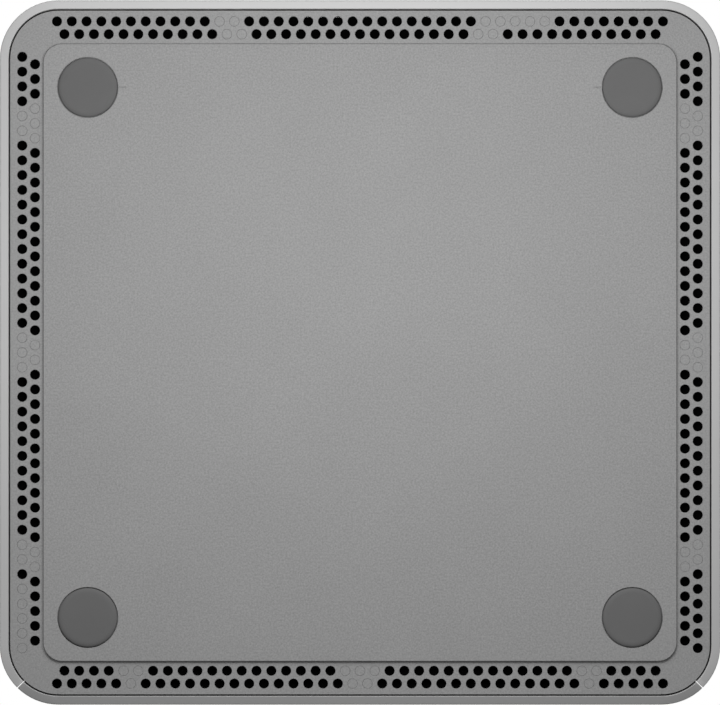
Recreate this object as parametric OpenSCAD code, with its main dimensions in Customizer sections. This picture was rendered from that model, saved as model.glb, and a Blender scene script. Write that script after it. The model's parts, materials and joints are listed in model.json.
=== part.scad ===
// Mini PC: a metal shell with a perforated plastic bottom cover, a board, a blower cooler and sockets.
// Millimetres, +Z up, feet on Z = 0, front towards -Y, rear sockets towards +Y, origin under the middle.

/* [Case] */
// Width, left to right
case_w = 135; // [130:0.5:170]
// Depth, front to rear
case_d = 132; // [128:0.5:170]
// Height, with the feet
case_h = 45.5; // [45.5:0.5:58]
// Radius of the upright corners
corner_r = 11; // [10:0.5:14]
// Wall of the shell and of the rear panel
wall = 1.7; // [1.4:0.1:2.1]
// Top plate of the shell
top_t = 2.2; // [1.8:0.1:2.7]
// Seam between the shell and the rear panel
seam = 0.15; // [0.1:0.05:0.3]

/* [Bottom cover] */
// Gap between the cover and the wall around it
cover_gap = 0.25; // [0.15:0.05:0.4]
// Sheet thickness of the cover
cover_t = 1.5; // [1.2:0.1:2]
// How far the wall's rim stands below the perforated border
rim_lip = 0.2; // [0:0.05:0.5]
// Distance from the case's side to the raised centre panel
panel_inset = 8.2; // [8:0.1:10]
// Corner radius of the raised centre panel
panel_r = 3.5; // [2:0.25:6]
// How far the centre panel stands below the perforated border
panel_raise = 0.7; // [0.4:0.1:1.2]
// Thickness of the skirt that slides into the shell
skirt_t = 0.9; // [0.7:0.05:0.95]
// Height of the skirt above the border
skirt_h = 2.8; // [2:0.2:4]

/* [Vent holes] */
// Diameter of a vent hole
vent_d = 1.8; // [1.2:0.1:2]
// Distance between neighbours in a row
vent_pitch = 2.77; // [2.5:0.01:3.4]
// Outer row to the case's front or rear face
vent_inset_y = 3.95; // [3.8:0.05:4.2]
// Outer column to the case's left or right face
vent_inset_x = 4.2; // [4:0.05:4.4]
// Length of case at each corner that the rows leave free
vent_margin = 10.5; // [10.5:0.5:16]
// Depth of the dimples at the places left blind
dimple_depth = 0.15; // [0.1:0.05:0.4]

/* [Feet] */
// Diameter of a foot
foot_d = 11.1; // [8:0.1:13]
// Height of a foot below the centre panel
foot_h = 0.3; // [0.2:0.1:1.5]
// Foot centre to the case's left or right face
foot_inset_x = 16.5; // [15.5:0.1:20]
// Foot centre to the case's front or rear face
foot_inset_y = 16.35; // [15.5:0.1:20]
// Depth of the seat that a foot is glued into
foot_seat = 0.6; // [0.3:0.1:0.8]
// Length of the mark beside each front foot
mark_l = 1.3; // [0.5:0.1:3]

/* [Posts and screws] */
// Diameter of the posts under the corners of the top plate
post_d = 7; // [6:0.5:8]
// Height of the lower end of those posts
post_z = 4.7; // [4.5:0.1:5.5]
// Diameter of the posts that carry the board
board_post_d = 6; // [5:0.5:7]
// Board posts to the middle, front to rear
board_post_y = 24; // [20:1:30]
// Thread diameter of the cover screws
cover_screw_d = 3; // [2.5:0.5:3]
// Length of the cover screws under the head
cover_screw_l = 8; // [6:1:12]
// Thread diameter of the board screws
board_screw_d = 2.5; // [2:0.5:3]
// Thickness of the rear panel's ears
ear_t = 1.2; // [0.8:0.1:1.5]
// Width of the rear panel's ears
ear_w = 10; // [8:0.5:10]

/* [Board] */
// Height of the board's underside
board_z = 12.9; // [12.9:0.2:14.5]
// Thickness of the board
board_t = 1.6; // [1.2:0.2:1.6]
// Board edge to the shell's side walls
board_side_gap = 5.8; // [4.6:0.2:7]
// Board edge to the front wall and to the rear panel
board_end_gap = 3.8; // [3.6:0.2:6]

/* [Rear sockets] */
// Space between neighbouring sockets
port_gap = 2; // [1:0.1:2]
// Depth of each socket's mouth behind the case's face
port_recess = 0.8; // [0.4:0.1:1.2]
// Gap around each socket in its opening
port_clear = 0.25; // [0.15:0.05:0.4]
// Diameter of the power socket's hole
dc_hole_d = 6.3; // [5.7:0.1:6.6]
// Diameter of the power socket's centre pin
dc_pin_d = 2.5; // [1.6:0.1:2.5]

/* [Front] */
// Diameter of the power button
button_d = 9; // [7:0.5:10]
// Travel of the power button
button_travel = 0.35; // [0.2:0.05:0.5]
// Gap around the power button
button_clear = 0.15; // [0.1:0.05:0.3]
// Diameter of the headset socket's hole
audio_hole_d = 3.6; // [3.5:0.05:3.7]
// Diameter of the light pipe
light_d = 2; // [1.5:0.1:3]

/* [Cooler] */
// Diameter of the blower wheel
fan_d = 66; // [56:1:68]
// Height of the blower, plate to plate
fan_h = 10.6; // [10:0.2:12]
// Space between the blower and the top plate
fan_top_gap = 2; // [1.5:0.1:2.5]
// Number of blades
blades = 23; // [15:1:31]
// Distance between heat sink fins
fin_pitch = 2.8; // [2.2:0.1:4]
// Thickness of a heat sink fin
fin_t = 0.6; // [0.4:0.1:1]

/* [Hidden] */
$fn = 48;
eps = 0.01;

// Heights, from the table up
panel_z = foot_h;
border_z = panel_z + panel_raise;
rim_z = border_z - rim_lip;
cover_top = border_z + cover_t;
floor_z = panel_z + cover_t;
ear_z = post_z - ear_t;
board_top = board_z + board_t;
ceiling_z = case_h - top_t;

// Inside and cover sizes
inner_w = case_w - 2 * wall;
inner_d = case_d - 2 * wall;
inner_r = corner_r - wall;
cover_w = inner_w - 2 * cover_gap;
cover_d = inner_d - 2 * cover_gap;
cover_r = inner_r - cover_gap;
panel_w = case_w - 2 * panel_inset;
panel_d = case_d - 2 * panel_inset;
post_x = case_w / 2 - foot_inset_x;
post_y = case_d / 2 - foot_inset_y;
wall_in_y = inner_d / 2;

// Vent pattern: places left blind, counted from the left along a row and from the front along a column
vent_row_gap = vent_pitch * sin(60);
row_n = floor((case_w - 2 * vent_margin) / vent_pitch) + 1;
column_n = floor((case_d - 2 * vent_margin) / vent_pitch) + 1;
front_blind = [[11, 12, 29, 30, 31, 32, 33], [11, 12, 28, 29]];
rear_blind = [[5, 20, 21, 36], [4, 5, 19, 20, 21, 35, 36]];
left_blind = [[4, 5, 19, 20, 21, 33, 34, 36, 37, 38, 39, 40], [3, 4, 5, 19, 20, 33, 34]];
right_blind = [[4, 5, 19, 20, 21, 33, 34], [3, 4, 5, 19, 20, 33, 34]];

// Feet, their seats and the cover screws under them
foot_clear = 0.15;
seat_z = panel_z + foot_seat;
mark_w = 0.2;
mark_depth = 0.15;
boss_d = 9;
screw_head_h = 1.6;
screw_head_ratio = 1.9;
head_clear = 0.4;
cover_head_z = seat_z + 0.2;
shaft_clear = 0.4;
thread_clear = 0.1;

// Dust filter
filter_t = 0.4;
filter_w = 6;
filter_clear = 0.3;

// Board outline and its posts
board_w = inner_w - 2 * board_side_gap;
board_d = inner_d - 2 * board_end_gap;
post_clear = 1;
notch_x = post_x - post_d / 2 - post_clear;
notch_y = post_y - post_d / 2 - post_clear;
board_post_x = board_w / 2 - 5.5;

// Processor and cooler
package_size = [35, 30, 1];
die_size = [20, 11, 0.7];
plate_size = [42, 42, 2];
plate_z = board_top + package_size[2] + die_size[2];
sink_z = plate_z + plate_size[2];
sink_base = 3.5;
sink_w = 92;
sink_d = 76;
fin_span = 74;
pipe_w = 8;
pipe_t = 2.5;
pipe_l = 80;
pipe_step = 11;
pipe_clear = 0.1;
fan_z = ceiling_z - fan_top_gap - fan_h;
fan_wall = 1.2;
fan_plate = 1.2;
fan_lid = 0.6;
fan_room = 4.3;
chamber_r = fan_d / 2 + fan_room;
duct_gap = 0.5;
duct_end = wall_in_y - duct_gap;
lug_x = 42.5;
lug_y = 28;
lug_edge = 3.5;
fan_screw_l = 5;
standoff_y = 10;
standoff_d = 5;
fin_gap = 0.7;

// Blower motor and wheel
hub_r = 15;
hub_wall = 1.5;
motor_r = 11;
shaft_d = 2;
shaft_run = 0.04;
wheel_z = fan_z + fan_plate + 1.8;
wheel_top = ceiling_z - fan_top_gap - fan_lid - 1;
inlet_r = 24;
spoke_w = 4;
blade_t = 0.8;
lead_d = 1.2;
lead_z = fan_z + fan_plate + 0.25 + lead_d / 2;
header_size = [7.5, 5, 4];
plug_size = [7.5, 4, 2.6];
header_x = -(board_w / 2 - 9.5);

// Sockets for cards on the board's underside
memory_w = 67.6;
memory_d = 30;
memory_t = 1.2;
memory_socket_w = 73.6;
memory_socket_d = 6;
memory_depth = 4;
memory_step = 4;
memory_y = -54;
latch_t = 1.6;
latch_l = 20;
chip_t = 1.1;
card_w = 22;
card_t = 0.8;
card_drop = 2.6;
card_socket_h = 4.2;
card_socket_t = 5.5;
card_depth = 1.5;
drive_l = 80;
drive_end_x = -44;
drive_y = 3;
drive_chip_t = 1.4;
pad_t = 1;
drive_sink_t = 3;
wireless_l = 30;
wireless_x = -32;
wireless_y = 20.5;
antenna_size = [7, 32, 0.8];
antenna_inset = 17.5;
coax_d = 1.1;
coax_z = floor_z + 0.4 + coax_d / 2;
cell_d = 20;
cell_t = 3.2;
cell_x = 34;
cell_y = 36;
holder_wall = 1.25;

// Rear sockets: power, two video, network, two USB pairs, from the left as seen from above
dc_size = [9, 14.5, 11];
dc_axis_h = 6.5;
dc_pin_l = 9.5;
video_size = [15, 11.5, 6];
video_wall = 0.5;
network_size = [16, 21.5, 13.4];
network_hole = [11.7, 15, 8.4];
usb_w = 13.1;
usb_wall = 0.3;
usb_hole_h = 5.1;
usb_pair_h = 15.6;
usb_pair_l = 17.5;
usb_step = 7.8;
usb_tongue = [11.1, 1.84];
usb_tongue_lift = 0.9;
rear_widths = [dc_size[0], video_size[0], video_size[0], network_size[0], usb_w, usb_w];
rear_mouth = case_d / 2 - port_recess;
body_gap = 0.1;

// Front sockets, light and button, as places along X
front_mouth = -case_d / 2 + port_recess;
usb_single_h = 6.6;
usb_single_l = 14;
usb_c_size = [9, 7.4, 3.3];
audio_size = [6.5, 12, 5.6];
audio_x = -40;
front_usb_x = [-23, -5];
usb_c_x = 12;
light_x = 24;
button_x = 38;
button_z = board_top + 4;
flange_t = 1;
flange_extra = 1.25;
stem_d = 3;
guide_wall = 1.5;
guide_t = 1.4;
guide_y = -wall_in_y + 0.1 + flange_t + 0.5 + 0.35;
switch_size = [6, 3.5, 7];
plunger_d = 3.4;
plunger_out = 1.2;
plunger_in = 1;
contact_gap = 0.05;
switch_y = -board_d / 2 + 1.5;
stem_end = switch_y - plunger_out - contact_gap;
guide_r = button_d / 2 + flange_extra + 0.2;

// Exhaust slots in the rear panel
slot_w = 3;
slot_pitch = 4.6;
slot_n = floor((2 * chamber_r - slot_w) / slot_pitch);
slot_z = fan_z + fan_plate + 0.4;
slot_h = fan_h - fan_plate - fan_lid - 0.8;

// Parts on the board around the processor
choke_size = [7, 7, 3];
choke_step = 8.2;
capacitor_d = 5;
capacitor_h = 3.4;

// Fins each side of the middle one, and a blade's length where it leans back to the wheel's rim
fin_n = floor((fin_span - fin_t) / fin_pitch / 2);
blade_lean = 20;
blade_root = hub_r - 0.5;
blade_reach = sqrt(pow(fan_d / 2, 2) - pow(blade_root * sin(blade_lean), 2))
    - blade_root * cos(blade_lean) - 0.05;

// Cards: height of each memory module below the board, drive pad, radio plugs and card ends
inner_drop = 2.6;
outer_drop = inner_drop + memory_step;
inner_memory_y = memory_y + memory_socket_d + 1;
pad_z = board_z - card_drop - card_t - drive_chip_t - pad_t;
aerial_jack_d = 2;
aerial_x = [-1, 1] * 6;
aerial_l = 5;
aerial_h = 1.2;
aerial_z = board_z - card_drop - card_t - aerial_h;
card_ends = [[drive_end_x, drive_y], [wireless_x, wireless_y + wireless_l]];
card_screw_d = 2;
antenna_x = case_w / 2 - antenna_inset;
antenna_top = floor_z + antenna_size[2];

// Routes of the fan lead and of the two antenna leads
plug_top = board_top + header_size[2] + plug_size[2];
lead_path = [
    [-motor_r - 0.05, 0, lead_z], [-20, 0, lead_z], [-30, 0, lead_z], [-chamber_r - 2, 0, lead_z],
    [-sink_w / 2 - 0.6, 0, lead_z], [header_x + 1.2, 0, lead_z - 0.6], [header_x + 0.3, 0, lead_z - 2],
    [header_x, 0, lead_z - 4], [header_x, 0, plug_top + 3], [header_x, 0, plug_top]
];
left_lead_path = [
    [wireless_x - 6, wireless_y + 5, aerial_z], [wireless_x - 6, wireless_y + 5, aerial_z - 2],
    [wireless_x - 7, wireless_y + 4, aerial_z - 4], [wireless_x - 9, wireless_y + 1, coax_z + 0.6],
    [wireless_x - 12, wireless_y - 1, coax_z + 0.5], [-antenna_x + 3, 17, coax_z + 0.8],
    [-antenna_x + 1, 14, coax_z + 1.4], [-antenna_x, 12.4, antenna_top + 1.2],
    [-antenna_x, 12, antenna_top + 0.6], [-antenna_x, 12, antenna_top]
];
right_lead_path = [
    [wireless_x + 6, wireless_y + 5, aerial_z], [wireless_x + 6, wireless_y + 5, aerial_z - 2],
    [wireless_x + 7, wireless_y + 4, aerial_z - 4], [wireless_x + 10, wireless_y + 1, coax_z + 0.4],
    [wireless_x + 14, wireless_y, coax_z], [-8, wireless_y - 0.5, coax_z],
    [12, wireless_y, coax_z], [30, wireless_y, coax_z], [antenna_x - 6, wireless_y - 0.5, coax_z],
    [antenna_x - 2.5, 17, coax_z + 0.8], [antenna_x - 0.6, 14, coax_z + 1.4],
    [antenna_x, 12.4, antenna_top + 1.2], [antenna_x, 12, antenna_top + 0.6],
    [antenna_x, 12, antenna_top]
];

// Points of an XY list mirrored to all four corners
function corners(x, y) = [for (sx = [-1, 1], sy = [-1, 1]) [sx * x, sy * y]];

// Left edge and middle of rear socket number i
rear_total = sum_widths(len(rear_widths)) + (len(rear_widths) - 1) * port_gap;
function sum_widths(n) = n == 0 ? 0 : rear_widths[n - 1] + sum_widths(n - 1);
function rear_x(i) = -rear_total / 2 + sum_widths(i) + i * port_gap + rear_widths[i] / 2;

// ---- shared shapes ----

module rounded(w, d, r) {
    square([w - 2 * r, d], center = true);
    square([w, d - 2 * r], center = true);
    for (p = corners(w / 2 - r, d / 2 - r)) translate(p) circle(r);
}

// A box centred in X and Y that stands on z
module block(size, at = [0, 0, 0]) {
    translate([at[0], at[1], at[2] + size[2] / 2]) cube(size, center = true);
}

// A box centred in X and Z that starts at y and runs rearward
module bar_y(w, l, h, at) {
    translate([at[0] - w / 2, at[1], at[2] - h / 2]) cube([w, l, h]);
}

module disc_y(d, l, at) {
    translate(at) rotate([-90, 0, 0]) cylinder(d = d, h = l);
}

// The wedge behind the two rear corners' 45 degree seams, shrunk by g
module rear_wedge(g) {
    edge = case_w / 2;
    reach = case_d;
    seam_y = case_d / 2 - corner_r + g * sqrt(2);
    seam_x = case_w / 2 - corner_r;
    polygon([
        [-reach, seam_y + reach - seam_x], [0, seam_y - seam_x], [reach, seam_y + reach - seam_x],
        [reach, reach * 2], [-reach, reach * 2]
    ]);
}

// Screw with its head's outer face on Z = 0 and its tip towards +Z
module screw_up(d, l) {
    head_d = d * screw_head_ratio;
    difference() {
        union() {
            cylinder(d = head_d, h = screw_head_h);
            cylinder(d = d - thread_clear, h = screw_head_h + l);
        }
        for (a = [0, 90]) rotate(a) block([head_d * 0.55, 0.7, 1.6], [0, 0, -0.8]);
    }
}

module screw_down(d, l) {
    mirror([0, 0, 1]) screw_up(d, l);
}

// Round lead swept along hand-picked points
function unit(v) = v / norm(v);
function tangent(p, i) = unit(p[min(i + 1, len(p) - 1)] - p[max(i - 1, 0)]);
function side_of(t, s) = unit(s - t * (s * t));
function sides(p, i, s) = i == 0 ? side_of(tangent(p, 0), s)
    : side_of(tangent(p, i), sides(p, i - 1, s));
module lead(p, d, start_side, n = 8) {
    rings = [for (i = [0:len(p) - 1])
        let(t = tangent(p, i), u = sides(p, i, start_side), v = cross(t, u))
        [for (k = [0:n - 1]) p[i] + (u * cos(k * 360 / n) + v * sin(k * 360 / n)) * d / 2]];
    last = len(p) - 1;
    polyhedron(
        points = [for (r = rings, q = r) q],
        faces = concat(
            [[for (k = [0:n - 1]) k]],
            [for (i = [0:last - 1], k = [0:n - 1])
                [i * n + k, (i + 1) * n + k, (i + 1) * n + (k + 1) % n, i * n + (k + 1) % n]],
            [[for (k = [n - 1:-1:0]) last * n + k]]
        )
    );
}

// ---- case ----

module port_hole(w, h, x, z, from) {
    bar_y(w + 2 * port_clear, wall + 2, h + 2 * port_clear, [x, from - 1, z]);
}

module front_holes() {
    from = -case_d / 2;
    for (x = front_usb_x) port_hole(usb_w, usb_single_h, x, board_top + usb_single_h / 2, from);
    port_hole(usb_c_size[0], usb_c_size[2], usb_c_x, board_top + usb_c_size[2] / 2, from);
    disc_y(audio_size[2] - 0.6, wall + 2, [audio_x, from - 1, board_top + audio_size[2] / 2]);
    disc_y(light_d + 0.2, wall + 2, [light_x, from - 1, button_z]);
    disc_y(button_d + 2 * button_clear, wall + 2, [button_x, from - 1, button_z]);
}

module unibody_shell() {
    color([0.76, 0.76, 0.77]) difference() {
        union() {
            difference() {
                translate([0, 0, rim_z]) linear_extrude(case_h - rim_z)
                    rounded(case_w, case_d, corner_r);
                translate([0, 0, rim_z - 1]) linear_extrude(ceiling_z - rim_z + 1)
                    rounded(inner_w, inner_d, inner_r);
                translate([0, 0, rim_z - 1]) linear_extrude(ceiling_z - rim_z + 1) rear_wedge(0);
            }
            for (p = corners(post_x, post_y)) translate([p[0], p[1], post_z])
                cylinder(d = post_d, h = ceiling_z - post_z + 1);
            for (p = corners(board_post_x, board_post_y)) translate([p[0], p[1], board_top])
                cylinder(d = board_post_d, h = ceiling_z - board_top + 1);
        }
        front_holes();
        for (p = corners(post_x, post_y)) translate([p[0], p[1], post_z - 1])
            cylinder(d = cover_screw_d, h = cover_screw_l + 3);
        for (p = corners(board_post_x, board_post_y)) translate([p[0], p[1], board_top - 1])
            cylinder(d = board_screw_d, h = 8);
    }
}

module rear_panel() {
    color([0.5, 0.5, 0.51]) difference() {
        union() {
            translate([0, 0, rim_z]) linear_extrude(ceiling_z - seam - rim_z) intersection() {
                difference() {
                    rounded(case_w, case_d, corner_r);
                    rounded(inner_w, inner_d, inner_r);
                }
                rear_wedge(seam);
            }
            for (s = [-1, 1]) block([ear_w, case_d / 2 - wall / 2 - post_y + ear_w / 2, ear_t],
                [s * post_x, (case_d / 2 - wall / 2 + post_y - ear_w / 2) / 2, ear_z]);
        }
        for (s = [-1, 1]) translate([s * post_x, post_y, ear_z - 1])
            cylinder(d = cover_screw_d + shaft_clear, h = ear_t + 2);
        for (i = [0:slot_n - 1])
            bar_y(slot_w, wall + 2, slot_h,
                [(i - (slot_n - 1) / 2) * slot_pitch, wall_in_y - 1, slot_z + slot_h / 2]);
        disc_y(dc_hole_d + 1.7 + 2 * port_clear, wall + 2,
            [rear_x(0), wall_in_y - 1, board_top + dc_axis_h]);
        for (i = [1, 2]) port_hole(video_size[0], video_size[2], rear_x(i),
            board_top + video_size[2] / 2, wall_in_y);
        port_hole(network_size[0], network_size[2], rear_x(3),
            board_top + network_size[2] / 2, wall_in_y);
        for (i = [4, 5]) port_hole(usb_w, usb_pair_h, rear_x(i),
            board_top + usb_pair_h / 2, wall_in_y);
    }
}

function is_in(k, list) = len([for (v = list) if (v == k) v]) > 0;

// Places along one side: open = true gives the holes, open = false the blind ones
function side_places(n, blind, open) = [for (row = [0, 1], k = [0:n - 1 - row])
    if (is_in(k, blind[row]) != open) [(k - (n - 1 - row) / 2) * vent_pitch, row * vent_row_gap]];

module vents(open) {
    for (p = side_places(row_n, front_blind, open))
        translate([p[0], -case_d / 2 + vent_inset_y + p[1]]) circle(d = vent_d, $fn = 24);
    for (p = side_places(row_n, rear_blind, open))
        translate([p[0], case_d / 2 - vent_inset_y - p[1]]) circle(d = vent_d, $fn = 24);
    for (p = side_places(column_n, left_blind, open))
        translate([-case_w / 2 + vent_inset_x + p[1], p[0]]) circle(d = vent_d, $fn = 24);
    for (p = side_places(column_n, right_blind, open))
        translate([case_w / 2 - vent_inset_x - p[1], p[0]]) circle(d = vent_d, $fn = 24);
}

module bottom_cover() {
    color([0.6, 0.6, 0.6]) difference() {
        union() {
            translate([0, 0, border_z]) linear_extrude(cover_t) difference() {
                rounded(cover_w, cover_d, cover_r);
                vents(true);
            }
            translate([0, 0, panel_z]) linear_extrude(panel_raise + 0.5)
                rounded(panel_w, panel_d, panel_r);
            translate([0, 0, cover_top - 0.5]) linear_extrude(skirt_h + 0.5) difference() {
                rounded(cover_w, cover_d, cover_r);
                rounded(cover_w - 2 * skirt_t, cover_d - 2 * skirt_t, cover_r - skirt_t);
            }
        }
        translate([0, 0, floor_z]) linear_extrude(cover_t)
            rounded(panel_w - 2 * cover_t, panel_d - 2 * cover_t, panel_r - cover_t);
        translate([0, 0, border_z - 1]) linear_extrude(1 + dimple_depth) vents(false);
        for (s = [-1, 1]) block([ear_w + 0.6, 4, skirt_h + 2],
            [s * post_x, cover_d / 2, ear_z - 0.3]);
        for (s = [-1, 1]) block([mark_l, mark_w, mark_depth + 1],
            [s * (post_x - foot_d / 2 - foot_clear - 0.3 - mark_l / 2), -post_y, panel_z - 1]);
        for (p = corners(post_x, post_y)) translate([p[0], p[1], panel_z - 1])
            cylinder(d = boss_d + 4, h = cover_top - panel_z + 2);
    }
    color([0.6, 0.6, 0.6]) for (p = corners(post_x, post_y)) translate([p[0], p[1], 0])
        screw_boss(p[1] < 0 ? post_z : ear_z);
}

module screw_boss(top) {
    difference() {
        union() {
            translate([0, 0, panel_z]) cylinder(d = boss_d + 4, h = cover_t);
            translate([0, 0, panel_z]) cylinder(d = boss_d, h = top - panel_z);
        }
        translate([0, 0, panel_z - 1]) cylinder(d = foot_d + 2 * foot_clear, h = foot_seat + 1);
        translate([0, 0, panel_z]) cylinder(d = cover_screw_d * screw_head_ratio + head_clear,
            h = cover_head_z + screw_head_h - panel_z);
        cylinder(d = cover_screw_d + shaft_clear, h = top + 1);
    }
}

module foot(x, y) {
    color([0.39, 0.39, 0.39]) translate([x, y, 0]) cylinder(d = foot_d, h = seat_z);
}

module cover_screws() {
    color([0.2, 0.2, 0.21]) for (p = corners(post_x, post_y))
        translate([p[0], p[1], cover_head_z]) screw_up(cover_screw_d, cover_screw_l);
}

module dust_filter() {
    reach_w = cover_w - 2 * skirt_t - 2 * filter_clear;
    reach_d = cover_d - 2 * skirt_t - 2 * filter_clear;
    color([0.12, 0.12, 0.12]) translate([0, 0, cover_top]) linear_extrude(filter_t) difference() {
        rounded(reach_w, reach_d, cover_r - skirt_t);
        rounded(reach_w - 2 * filter_w, reach_d - 2 * filter_w, 3);
    }
}

// ---- board ----

module main_board() {
    color([0.05, 0.16, 0.12]) difference() {
        block([board_w, board_d, board_t], [0, 0, board_z]);
        for (p = corners(notch_x + 20, notch_y + 20)) block([40, 40, board_t + 2],
            [p[0], p[1], board_z - 1]);
        for (p = corners(board_post_x, board_post_y)) translate([p[0], p[1], board_z - 1])
            cylinder(d = board_screw_d + shaft_clear, h = board_t + 2);
    }
}

module board_screws() {
    head_z = board_z - screw_head_h;
    color([0.7, 0.7, 0.7]) for (p = corners(board_post_x, board_post_y))
        translate([p[0], p[1], head_z]) screw_up(board_screw_d, board_t + 4);
}

module processor() {
    color([0.1, 0.25, 0.15]) union() {
        block(package_size, [0, 0, board_top]);
        block([die_size[0], die_size[1], die_size[2] + 0.5], [0, 0, board_top + package_size[2] - 0.5]);
    }
}

module power_chokes() {
    color([0.3, 0.3, 0.32]) for (i = [-2:2])
        block(choke_size, [i * choke_step, package_size[1] / 2 + 11, board_top]);
}

module capacitors() {
    color([0.7, 0.7, 0.72]) for (s = [-1, 1], i = [-1:1])
        translate([s * (package_size[0] / 2 + 12), i * 9, board_top])
            cylinder(d = capacitor_d, h = capacitor_h);
}

// ---- cooler ----

module cold_plate() {
    color([0.72, 0.45, 0.3]) block(plate_size, [0, 0, plate_z]);
}

module flat_pipe(grow) {
    square([pipe_l - pipe_w + 2 * grow, pipe_w + 2 * grow], center = true);
    for (s = [-1, 1]) translate([s * (pipe_l - pipe_w) / 2, 0]) circle(d = pipe_w + 2 * grow);
}

module heat_pipes() {
    color([0.75, 0.48, 0.33]) for (i = [-1:1]) translate([0, i * pipe_step, sink_z])
        linear_extrude(pipe_t) flat_pipe(0);
}

module heat_sink() {
    color([0.68, 0.69, 0.7]) difference() {
        union() {
            block([sink_w, sink_d, sink_base], [0, 0, sink_z]);
            for (i = [-fin_n:fin_n]) block([fin_t, sink_d, fan_z - fin_gap - sink_z],
                [i * fin_pitch, 0, sink_z]);
            for (p = corners(lug_x, lug_y)) block([2 * lug_edge, 2 * lug_edge, fan_z - sink_z],
                [p[0], p[1], sink_z]);
        }
        for (i = [-1:1]) translate([0, i * pipe_step, sink_z - 1])
            linear_extrude(pipe_t + 1) flat_pipe(pipe_clear);
        for (p = corners(lug_x, lug_y)) translate([p[0], p[1], fan_z - fan_screw_l - 1])
            cylinder(d = board_screw_d, h = fan_screw_l + 2);
        for (p = corners(lug_x, standoff_y)) translate([p[0], p[1], sink_z - 1])
            cylinder(d = board_screw_d + shaft_clear, h = sink_base + 2);
    }
}

module cooler_standoffs() {
    color([0.8, 0.68, 0.4]) for (p = corners(lug_x, standoff_y)) translate([p[0], p[1], board_top])
        difference() {
            cylinder(d = standoff_d, h = sink_z - board_top);
            translate([0, 0, 0.6]) cylinder(d = board_screw_d, h = sink_z - board_top);
        }
}

module cooler_screws() {
    color([0.7, 0.7, 0.7]) for (p = corners(lug_x, standoff_y))
        translate([p[0], p[1], sink_z + sink_base + screw_head_h])
            screw_down(board_screw_d, sink_base + 2.5);
}

module chamber(grow) {
    circle(r = chamber_r + grow);
    translate([-chamber_r - grow, 0]) square([2 * (chamber_r + grow), duct_end]);
}

module fan_housing() {
    color([0.1, 0.1, 0.1]) difference() {
        union() {
            translate([0, 0, fan_z]) linear_extrude(fan_plate) {
                chamber(fan_wall);
                square([sink_w, 2 * (lug_y + lug_edge)], center = true);
            }
            translate([0, 0, fan_z]) linear_extrude(fan_h - fan_lid) difference() {
                chamber(fan_wall);
                union() {
                    chamber(0);
                    translate([-chamber_r, duct_end - 1]) square([2 * chamber_r, 2]);
                }
            }
        }
        translate([0, 0, fan_z - 1]) linear_extrude(fan_plate + 2) difference() {
            circle(r = inlet_r);
            circle(r = motor_r);
            for (a = [0, 120, 240]) rotate(a + 180) translate([0, -spoke_w / 2])
                square([inlet_r + 1, spoke_w]);
        }
        for (p = corners(lug_x, lug_y)) translate([p[0], p[1], fan_z - 1])
            cylinder(d = board_screw_d + shaft_clear, h = fan_plate + 2);
        translate([-chamber_r - fan_wall - 1, 0, lead_z]) rotate([0, 90, 0])
            cylinder(d = lead_d + 0.8, h = fan_wall + 2);
    }
}

module fan_cover() {
    color([0.55, 0.55, 0.56]) translate([0, 0, fan_z + fan_h - fan_lid])
        linear_extrude(fan_lid) difference() {
            chamber(fan_wall);
            circle(r = inlet_r - 2);
        }
}

module fan_motor() {
    base = fan_z + fan_plate;
    color([0.6, 0.6, 0.58]) translate([0, 0, base]) difference() {
        cylinder(r = motor_r, h = wheel_top - hub_wall - 0.6 - base);
        translate([0, 0, 0.8]) cylinder(d = shaft_d + 2 * shaft_run, h = fan_h);
    }
}

module fan_rotor() {
    color([0.08, 0.08, 0.08]) {
        difference() {
            translate([0, 0, wheel_z]) cylinder(r = hub_r, h = wheel_top - wheel_z);
            translate([0, 0, wheel_z - 1]) cylinder(r = hub_r - hub_wall,
                h = wheel_top - wheel_z - hub_wall + 1);
        }
        translate([0, 0, fan_z + fan_plate + 1.2])
            cylinder(d = shaft_d, h = wheel_top - hub_wall - fan_z - fan_plate - 1);
        for (i = [0:blades - 1]) rotate(i * 360 / blades)
            translate([hub_r - 0.5, 0, wheel_z]) rotate(-blade_lean)
                translate([0, -blade_t / 2, 0])
                    cube([blade_reach, blade_t, wheel_top - wheel_z]);
    }
}

module fan_screws() {
    color([0.2, 0.2, 0.2]) for (p = corners(lug_x, lug_y))
        translate([p[0], p[1], fan_z + fan_plate + screw_head_h])
            screw_down(board_screw_d, fan_plate + fan_screw_l - 1);
}

module fan_header() {
    color([0.9, 0.88, 0.8]) translate([header_x, 0, board_top]) difference() {
        block(header_size);
        block([header_size[0] - 2, header_size[1] - 2, header_size[2]], [0, 0, header_size[2] - 1.5]);
    }
}

module fan_plug() {
    color([0.92, 0.9, 0.85]) translate([header_x, 0, board_top + header_size[2]]) union() {
        block(plug_size);
        block([header_size[0] - 2.4, header_size[1] - 2.4, 1.3], [0, 0, -1.3]);
    }
}

module fan_lead() {
    color([0.1, 0.1, 0.1]) lead(lead_path, lead_d, [0, 1, 0]);
}

// ---- cards on the underside ----

// drop is the height of the card's middle below the board
module memory_socket(y, drop) {
    h = drop + 1.6;
    color([0.12, 0.12, 0.13]) difference() {
        union() {
            block([memory_socket_w, memory_socket_d, h], [0, y, board_z - h]);
            for (s = [-1, 1]) block([latch_t, latch_l + 1, 3.2],
                [s * (memory_w / 2 + 0.5 + latch_t / 2), y + memory_socket_d / 2 + latch_l / 2 - 0.5,
                    board_z - h]);
        }
        block([memory_w + 0.4, memory_depth + 1, memory_t + 0.3],
            [0, y + memory_socket_d / 2 - memory_depth / 2 + 0.5,
                board_z - drop - memory_t / 2 - 0.15]);
    }
}

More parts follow.
